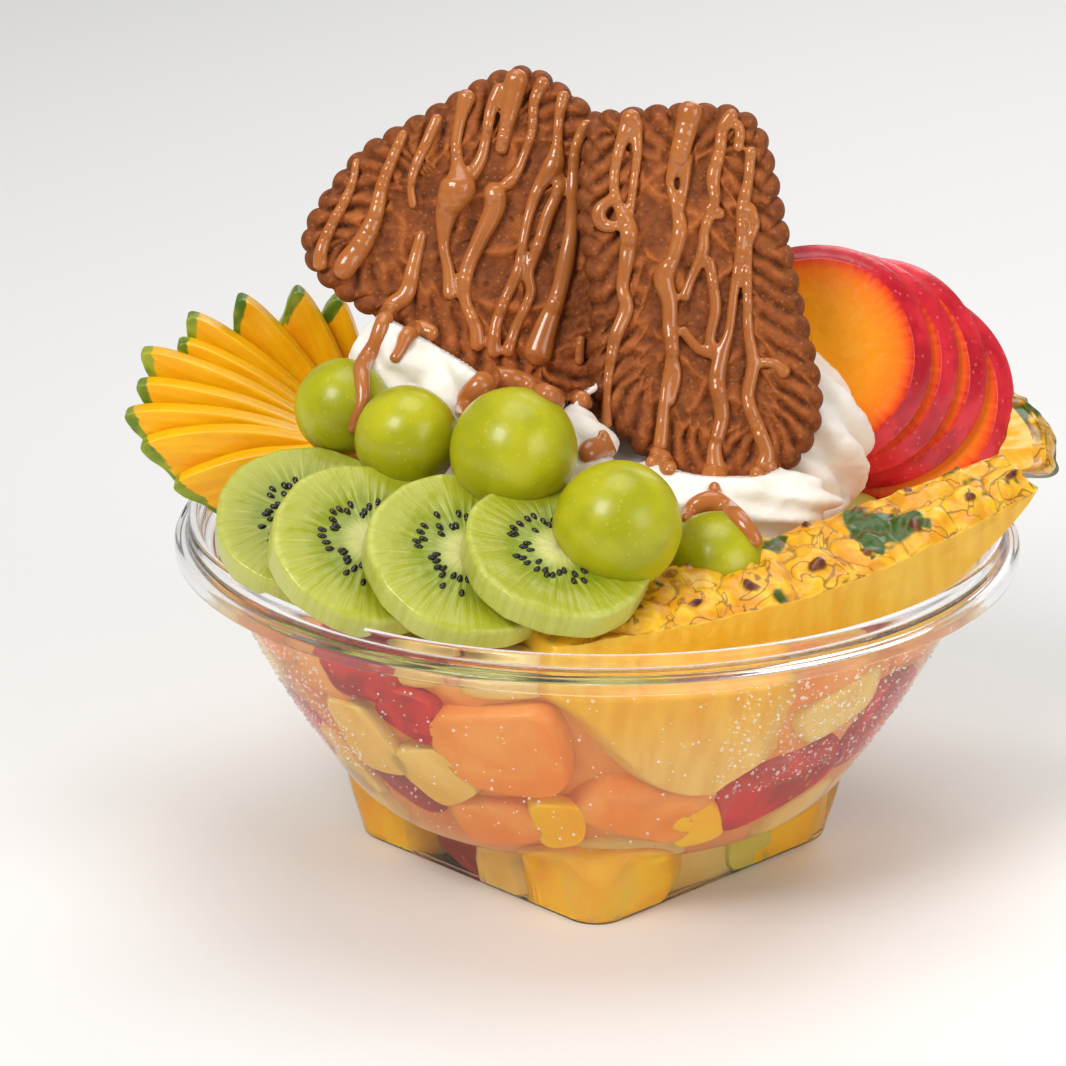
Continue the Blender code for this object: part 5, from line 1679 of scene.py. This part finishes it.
RIGHT_BISCUIT = Biscuit("biscuit_right", (
    (-2.0, 140.5), (2.8, 140.9), (14.7, 142.2), (27.2, 142.0), (31.6, 138.0), (33.5, 130.3),
    (37.8, 109.2), (42.2, 91.0), (43.1, 83.7), (41.4, 77.0), (36.8, 71.8), (29.7, 69.5),
    (15.3, 70.1), (9.0, 74.1), (0.0, 83.3), (-2.1, 89.7), (-1.2, 103.5), (-4.4, 122.7),
), 41.0, 6.0, 7)
LEFT_BISCUIT = Biscuit("biscuit_left", (
    (-58.3, 114.7), (-57.2, 120.1), (-47.0, 134.3), (-33.5, 141.7), (-18.9, 150.2), (-12.0, 150.6),
    (-2.0, 142.5), (12.0, 133.5), (25.0, 125.5), (31.0, 120.0), (30.0, 113.0), (19.0, 103.5), (4.0, 92.0),
    (-4.0, 84.5), (-9.5, 81.0), (-16.0, 82.5), (-22.8, 89.5), (-36.0, 97.4), (-50.0, 105.2), (-55.8, 110.0),
), 29.4, 50.0, 3)


@dataclass
class Sight:
    """The camera: it looks along the leaning planes' out direction from far off."""

    frame_size: float = 1066.0
    focal: float = 5000.0
    middle: float = 533.0
    across: float = -12.5
    rise: float = 58.8
    far: float = 1000.0
    tip: float = 70.05
    roll: float = 0.32

    def place(self, x: Array, y: Array, out: Array) -> Array:
        """Where the line of sight through a pixel of the photograph meets a leaning plane."""
        scale = self.focal / (self.far - np.asarray(out, float))
        return lean_point((x - self.middle) / scale + self.across, self.rise + (self.middle - y) / scale, out)

    def on_plane(self, x: Array, y: Array, out: float) -> tuple[Array, Array]:
        """Across and rise on a leaning plane of a pixel of the photograph."""
        scale = self.focal / (self.far - out)
        return (x - self.middle) / scale + self.across, self.rise + (self.middle - y) / scale

    def met(self, x: Array, y: Array, pieces: list[bpy.types.Object]) -> Array:
        """How far out the first of the pieces is that the line of sight through each pixel meets."""
        graph = bpy.context.evaluated_depsgraph_get()
        trees = [BVHTree.FromObject(piece, graph) for piece in pieces]
        eye = lean_point(self.across, self.rise, self.far)
        outs = []
        for aim in self.place(x, y, np.zeros_like(x)):
            way = Vector(unit(aim - eye))
            spots = [tree.ray_cast(Vector(eye * MM), way)[0] for tree in trees]
            outs.append(max((np.dot(np.array(spot) / MM, OUT) for spot in spots if spot), default=np.nan))
        outs = np.array(outs)
        seen = ~np.isnan(outs)
        steps = np.arange(len(outs))
        return np.interp(steps, steps[seen], outs[seen])

    def build(self) -> None:
        """Makes the camera."""
        lens = bpy.data.cameras.new("camera")
        lens.sensor_width = 36.0
        lens.lens = self.focal * lens.sensor_width / self.frame_size
        lens.clip_start, lens.clip_end = 0.05, 20.0
        eye = bpy.data.objects.new("camera", lens)
        bpy.context.scene.collection.objects.link(eye)
        eye.location = lean_point(self.across, self.rise, self.far) * MM
        tip, roll = math.radians(self.tip), math.radians(self.roll)
        eye.rotation_mode = "QUATERNION"
        eye.rotation_quaternion = Quaternion((1, 0, 0), tip) @ Quaternion((0, 0, 1), roll)
        bpy.context.scene.camera = eye


@dataclass
class Caramel:
    """Runs of caramel over the biscuits' faces, and what drips on to the cream and grapes.

    A run is a list of (x, y, half width): where the photograph shows it, and how thick it is.
    """

    sight: Sight
    voxel: float = 0.36
    bridge: int = 4
    right_runs: tuple = (
        ((632, 106, 2.6), (622, 129, 1.6), (614, 158, 1.2), (612, 183, 1.2), (619, 208, 1.4), (627, 225, 2.0),
         (625, 254, 1.7), (621, 283, 1.4), (625, 304, 1.6), (614, 333, 1.5), (608, 368, 1.1), (606, 397, 1.0),
         (606, 425, 1.4)),
        ((633, 113, 1.7), (635, 148, 1.1), (632, 176, 1.0), (628, 208, 1.0), (625, 219, 1.3)),
        ((614, 191, 1.0), (598, 205, 1.5), (600, 219, 1.6), (616, 223, 1.2)),
        ((690, 97, 3.2), (684, 122, 2.5), (676, 154, 2.1), (668, 176, 1.0), (674, 200, 1.3), (678, 225, 1.7),
         (671, 254, 1.6), (662, 273, 2.3), (668, 297, 1.8), (669, 325, 1.7), (671, 351, 1.5), (665, 382, 1.2),
         (662, 415, 1.4), (659, 447, 1.7)),
        ((684, 148, 1.6), (682, 183, 1.1), (676, 208, 1.2)),
        ((671, 351, 1.3), (676, 372, 1.0), (668, 401, 1.1)),
        ((733, 105, 1.6), (721, 122, 1.4), (717, 148, 1.4), (711, 172, 1.6), (712, 197, 1.3), (703, 225, 1.2),
         (701, 247, 1.4), (690, 273, 1.1), (681, 297, 1.4)),
        ((721, 115, 1.2), (737, 123, 1.2), (735, 147, 1.2)),
        ((703, 202, 1.1), (723, 211, 1.5)),
        ((707, 251, 1.3), (712, 283, 1.3), (714, 305, 1.3), (709, 336, 1.2), (719, 351, 1.4)),
        ((749, 140, 1.3), (746, 176, 1.2), (741, 200, 1.5), (739, 240, 1.2), (733, 283, 1.1), (728, 325, 1.1),
         (721, 347, 1.6), (716, 376, 1.9), (721, 411, 1.7), (714, 444, 1.6), (716, 472, 2.8)),
        ((746, 197, 1.3), (753, 219, 1.2), (747, 240, 1.0), (746, 283, 1.1), (747, 325, 1.2), (752, 358, 1.5),
         (747, 393, 1.5), (758, 425, 1.7), (766, 450, 1.9), (758, 472, 2.4)),
        ((752, 358, 1.2), (773, 358, 1.2), (787, 371, 1.9)),
        ((679, 322, 1.2), (698, 344, 1.2), (715, 348, 1.4)),
    )
    left_runs: tuple = (
        ((355, 154, 0.9), (351, 178, 1.0), (342, 200, 1.2), (330, 222, 1.3), (320, 247, 1.5),
         (319, 268, 1.8)),
        ((403, 126, 1.1), (391, 154, 1.3), (380, 183, 1.5), (374, 211, 1.8), (361, 240, 2.4), (345, 262, 2.6),
         (340, 277, 2.2)),
        ((437, 110, 1.3), (424, 140, 1.3), (414, 162, 1.2), (409, 183, 1.0), (412, 206, 1.0)),
        ((467, 86, 2.4), (459, 111, 1.5), (454, 140, 1.3), (456, 165, 1.8), (456, 183, 4.0), (445, 208, 2.6),
         (442, 240, 1.3), (447, 268, 1.4), (449, 297, 1.7)),
        ((500, 79, 1.6), (489, 105, 1.4), (484, 133, 1.2), (478, 157, 1.4), (465, 176, 2.0)),
        ((516, 66, 2.9), (510, 94, 2.3), (503, 126, 1.6), (498, 151, 1.5)),
        ((543, 74, 1.9), (532, 97, 1.3), (530, 126, 1.1), (522, 151, 1.1), (513, 172, 1.2), (501, 183, 1.8)),
        ((489, 178, 2.6), (493, 202, 2.4), (476, 240, 1.8), (465, 268, 1.7), (464, 297, 1.4), (475, 325, 1.6),
         (476, 348, 1.9)),
        ((562, 86, 1.6), (557, 111, 1.2), (555, 140, 1.3), (551, 162, 2.4), (537, 183, 1.5), (527, 211, 1.2),
         (521, 240, 1.1), (516, 268, 1.3), (503, 297, 1.3), (494, 325, 1.4), (493, 355, 1.7)),
        ((551, 162, 1.8), (557, 183, 1.4), (546, 211, 1.5), (537, 240, 1.4), (527, 268, 1.3), (529, 290, 1.2),
         (514, 325, 1.2), (505, 354, 1.5)),
        ((587, 115, 1.4), (573, 148, 1.3), (570, 219, 1.5), (565, 254, 1.9), (557, 290, 1.9), (544, 325, 2.6),
         (533, 361, 3.6)),
        ((580, 330, 1.0), (578, 361, 1.2)),
    )
    free_runs: tuple = (
        ((421, 226, 1.2), (412, 262, 1.6), (405, 290, 1.9), (391, 302, 1.9), (381, 321, 1.8), (374, 341, 1.8),
         (361, 363, 1.9), (361, 378, 1.7), (362, 396, 1.5), (357, 412, 1.3), (351, 431, 1.5)),
        ((436, 334, 1.9), (420, 324, 1.8), (407, 331, 1.9), (399, 347, 1.3), (391, 359, 1.4)),
        ((461, 410, 1.5), (466, 396, 2.2), (477, 384, 2.6), (492, 374, 2.7), (514, 376, 2.5), (534, 384, 2.4),
         (546, 392, 2.6), (558, 396, 2.8), (567, 394, 2.2)),
        ((573, 392, 1.8), (585, 397, 2.0), (593, 404, 1.6), (596, 414, 1.2)),
        ((583, 458, 1.4), (588, 448, 2.4), (598, 443, 2.4), (610, 446, 1.6)),
        ((600, 425, 1.2), (606, 440, 1.5), (612, 450, 1.2)),
        ((659, 440, 1.6), (655, 455, 1.8), (648, 462, 1.8)),
        ((659, 445, 1.7), (667, 462, 2.0), (671, 470, 1.3)),
        ((716, 452, 2.2), (715, 464, 3.0), (714, 471, 2.8)),
        ((766, 450, 2.0), (765, 464, 2.5), (756, 471, 2.2)),
        ((714, 476, 1.0), (714, 486, 1.6), (712, 494, 2.0)),
        ((686, 516, 1.5), (694, 502, 2.0), (711, 496, 2.4), (724, 502, 2.3), (738, 514, 2.2), (751, 529, 1.9),
         (759, 542, 1.6)),
    )

    def on_biscuit(self, biscuit: Biscuit, run: tuple) -> Skin:
        """A run that lies on a biscuit's relief."""
        knots = np.array(run, float)
        path = smooth_curve(knots, max(12, 3 * len(knots) * 3))
        flat = np.stack(self.sight.on_plane(path[:, 0], path[:, 1], biscuit.out), axis=-1)
        beyond = np.clip(1.5 - biscuit.nearest(flat)[0], 0.0, 4.0)
        height = 0.8 * np.maximum(biscuit.relief(flat), 0.0) + 0.35 + 0.25 * path[:, 2] - 0.55 * beyond
        line = biscuit.world(flat, height)
        way = unit(np.gradient(line, axis=0))
        side = unit(np.cross(way, OUT))
        over = np.cross(side, way)
        return tube(line, 0.9 * path[:, 2], side, over, 0.8)

    def free(self, run: tuple, ground: list[bpy.types.Object]) -> Skin:
        """A run that lies on whatever it meets, and bridges the dips in it."""
        knots = np.array(run, float)
        path = smooth_curve(knots, 12 * len(run))
        met = self.sight.met(path[:, 0], path[:, 1], ground)
        padded = np.concatenate([np.full(self.bridge, met[0]), met, np.full(self.bridge, met[-1])])
        window = 2 * self.bridge + 1
        near = np.stack([padded[k : k + len(met)] for k in range(window)])
        out = np.maximum(near.mean(axis=0), met - 0.6) + 0.15 * path[:, 2]
        line = self.sight.place(path[:, 0], path[:, 1], out)
        way = unit(np.gradient(line, axis=0))
        side = unit(np.cross(way, OUT))
        return tube(line, 0.9 * path[:, 2], side, np.cross(side, way), 0.8, 16)

    def build(self, left: Biscuit, right: Biscuit, ground: list[bpy.types.Object]) -> None:
        """Makes the sauce of each biscuit, and the free sauce over the ground, each run together."""
        runs = {
            "caramel_left": [self.on_biscuit(left, run) for run in self.left_runs],
            "caramel_right": [self.on_biscuit(right, run) for run in self.right_runs],
            "caramel_on_cream": [self.free(run, ground) for run in self.free_runs],
        }
        for name, skins in runs.items():
            make_piece(name, [fused(skins, self.voxel, 3)], CARAMEL)


@dataclass
class Condensation:
    """Drops on the wall, thick at both sides of the front and few between."""

    cup: Cup
    seed: int = 5
    # first and last turn, lowest and highest level, how many, smallest and largest radius
    patches: tuple = (
        (-75, -48, 28, 60, 420, 0.2, 0.5), (20, 62, 30, 60, 700, 0.16, 0.45),
        (-48, 20, 18, 60, 150, 0.15, 0.4),
        (60, 120, 25, 60, 300, 0.2, 0.5), (120, 285, 20, 60, 400, 0.2, 0.5),
    )

    def build(self) -> None:
        """Makes all the drops as one piece: each is a low dome on the outside of the wall."""
        draw = np.random.default_rng(self.seed)
        drop = ball(4, 7)
        skins = []
        for first, last, low, high, count, small, large in self.patches:
            for _ in range(count):
                angle = math.radians(draw.uniform(first, last))
                height = draw.uniform(low, high)
                size = small + (large - small) * draw.uniform() ** 3
                radius = float(self.cup.radius(np.array(angle), np.array(height)))
                at = np.array((radius * math.sin(angle), -radius * math.cos(angle), height))
                outward = np.array((math.sin(angle), -math.cos(angle), -0.55))
                skins.append(closed_skin(
                    at + size * drop, at + np.array((0, 0, size)), at - np.array((0, 0, size))))
                skins[-1].points -= 0.35 * size * unit(outward)
        make_piece("condensation", skins, WATER)


@dataclass
class Studio:
    """A pale floor and soft light from above, left and right."""

    floor_half: float = 1.6
    floor_drop: float = 0.0002
    world_light: float = 0.24
    # name, place, what it looks at, size, power
    lamps: tuple = (
        ("key", (-0.5, -0.65, 0.85), (0, 0, 0.08), 0.4, 7.4),
        ("fill", (0.75, -0.7, 0.5), (0, 0, 0.06), 0.6, 3.7),
        ("top", (0.05, 0.1, 1.1), (0, 0, 0.06), 0.7, 4.3),
        ("back", (0.3, 0.8, 0.6), (0, 0, 0.08), 0.5, 2.2),
    )

    def floor(self) -> None:
        """A wide pale floor under the foot."""
        mesh = bpy.data.meshes.new("floor")
        half = self.floor_half
        corners = [(-half, -half, 0), (half, -half, 0), (half, half, 0), (-half, half, 0)]
        mesh.from_pydata(corners, [], [(0, 1, 2, 3)])
        floor = bpy.data.objects.new("floor", mesh)
        bpy.context.scene.collection.objects.link(floor)
        paint = bpy.data.materials.new("floor paint")
        paint.use_nodes = True
        shader = paint.node_tree.nodes["Principled BSDF"]
        shader.inputs["Base Color"].default_value = tint(244, 243, 241)
        shader.inputs["Roughness"].default_value = 0.6
        mesh.materials.append(paint)
        floor.location.z = -self.floor_drop

    def lamp(self, name: str, place: tuple, aim: tuple, size: float, power: float) -> None:
        """A square soft light that looks at a point."""
        light = bpy.data.lights.new(name, "AREA")
        light.size, light.energy = size, power
        lamp = bpy.data.objects.new(name, light)
        bpy.context.scene.collection.objects.link(lamp)
        lamp.location = place
        lamp.rotation_mode = "QUATERNION"
        lamp.rotation_quaternion = (Vector(place) - Vector(aim)).to_track_quat("Z", "Y")

    def build(self) -> None:
        """Makes the floor, the world and the lamps."""
        self.floor()
        world = bpy.data.worlds.new("world")
        world.use_nodes = True
        sky = world.node_tree.nodes["Background"]
        sky.inputs["Color"].default_value = (1.0, 1.0, 1.0, 1.0)
        sky.inputs["Strength"].default_value = self.world_light
        bpy.context.scene.world = world
        for settings in self.lamps:
            self.lamp(*settings)
        view = bpy.context.scene.view_settings
        view.view_transform, view.look = "Standard", "None"


def main() -> None:
    """Builds the camera and light, then every sub-assembly in order."""
    logging.basicConfig(level=logging.INFO, format="%(message)s", stream=sys.stdout)
    sight = Sight()
    sight.build()
    Studio().build()
    cup = Cup()
    cup.build()
    CutFruit(cup).build()
    MangoFan().build()
    KiwiSlices().build()
    grapes = Grapes().build()
    StoneFruitSlices().build()
    PineappleSlices().build(cup)
    cream = Cream().build([LEFT_BISCUIT, RIGHT_BISCUIT])
    ground = [cream, LEFT_BISCUIT.build(), RIGHT_BISCUIT.build(), *grapes]
    Caramel(sight).build(LEFT_BISCUIT, RIGHT_BISCUIT, ground)
    Condensation(cup).build()


if __name__ == "__main__":
    main()
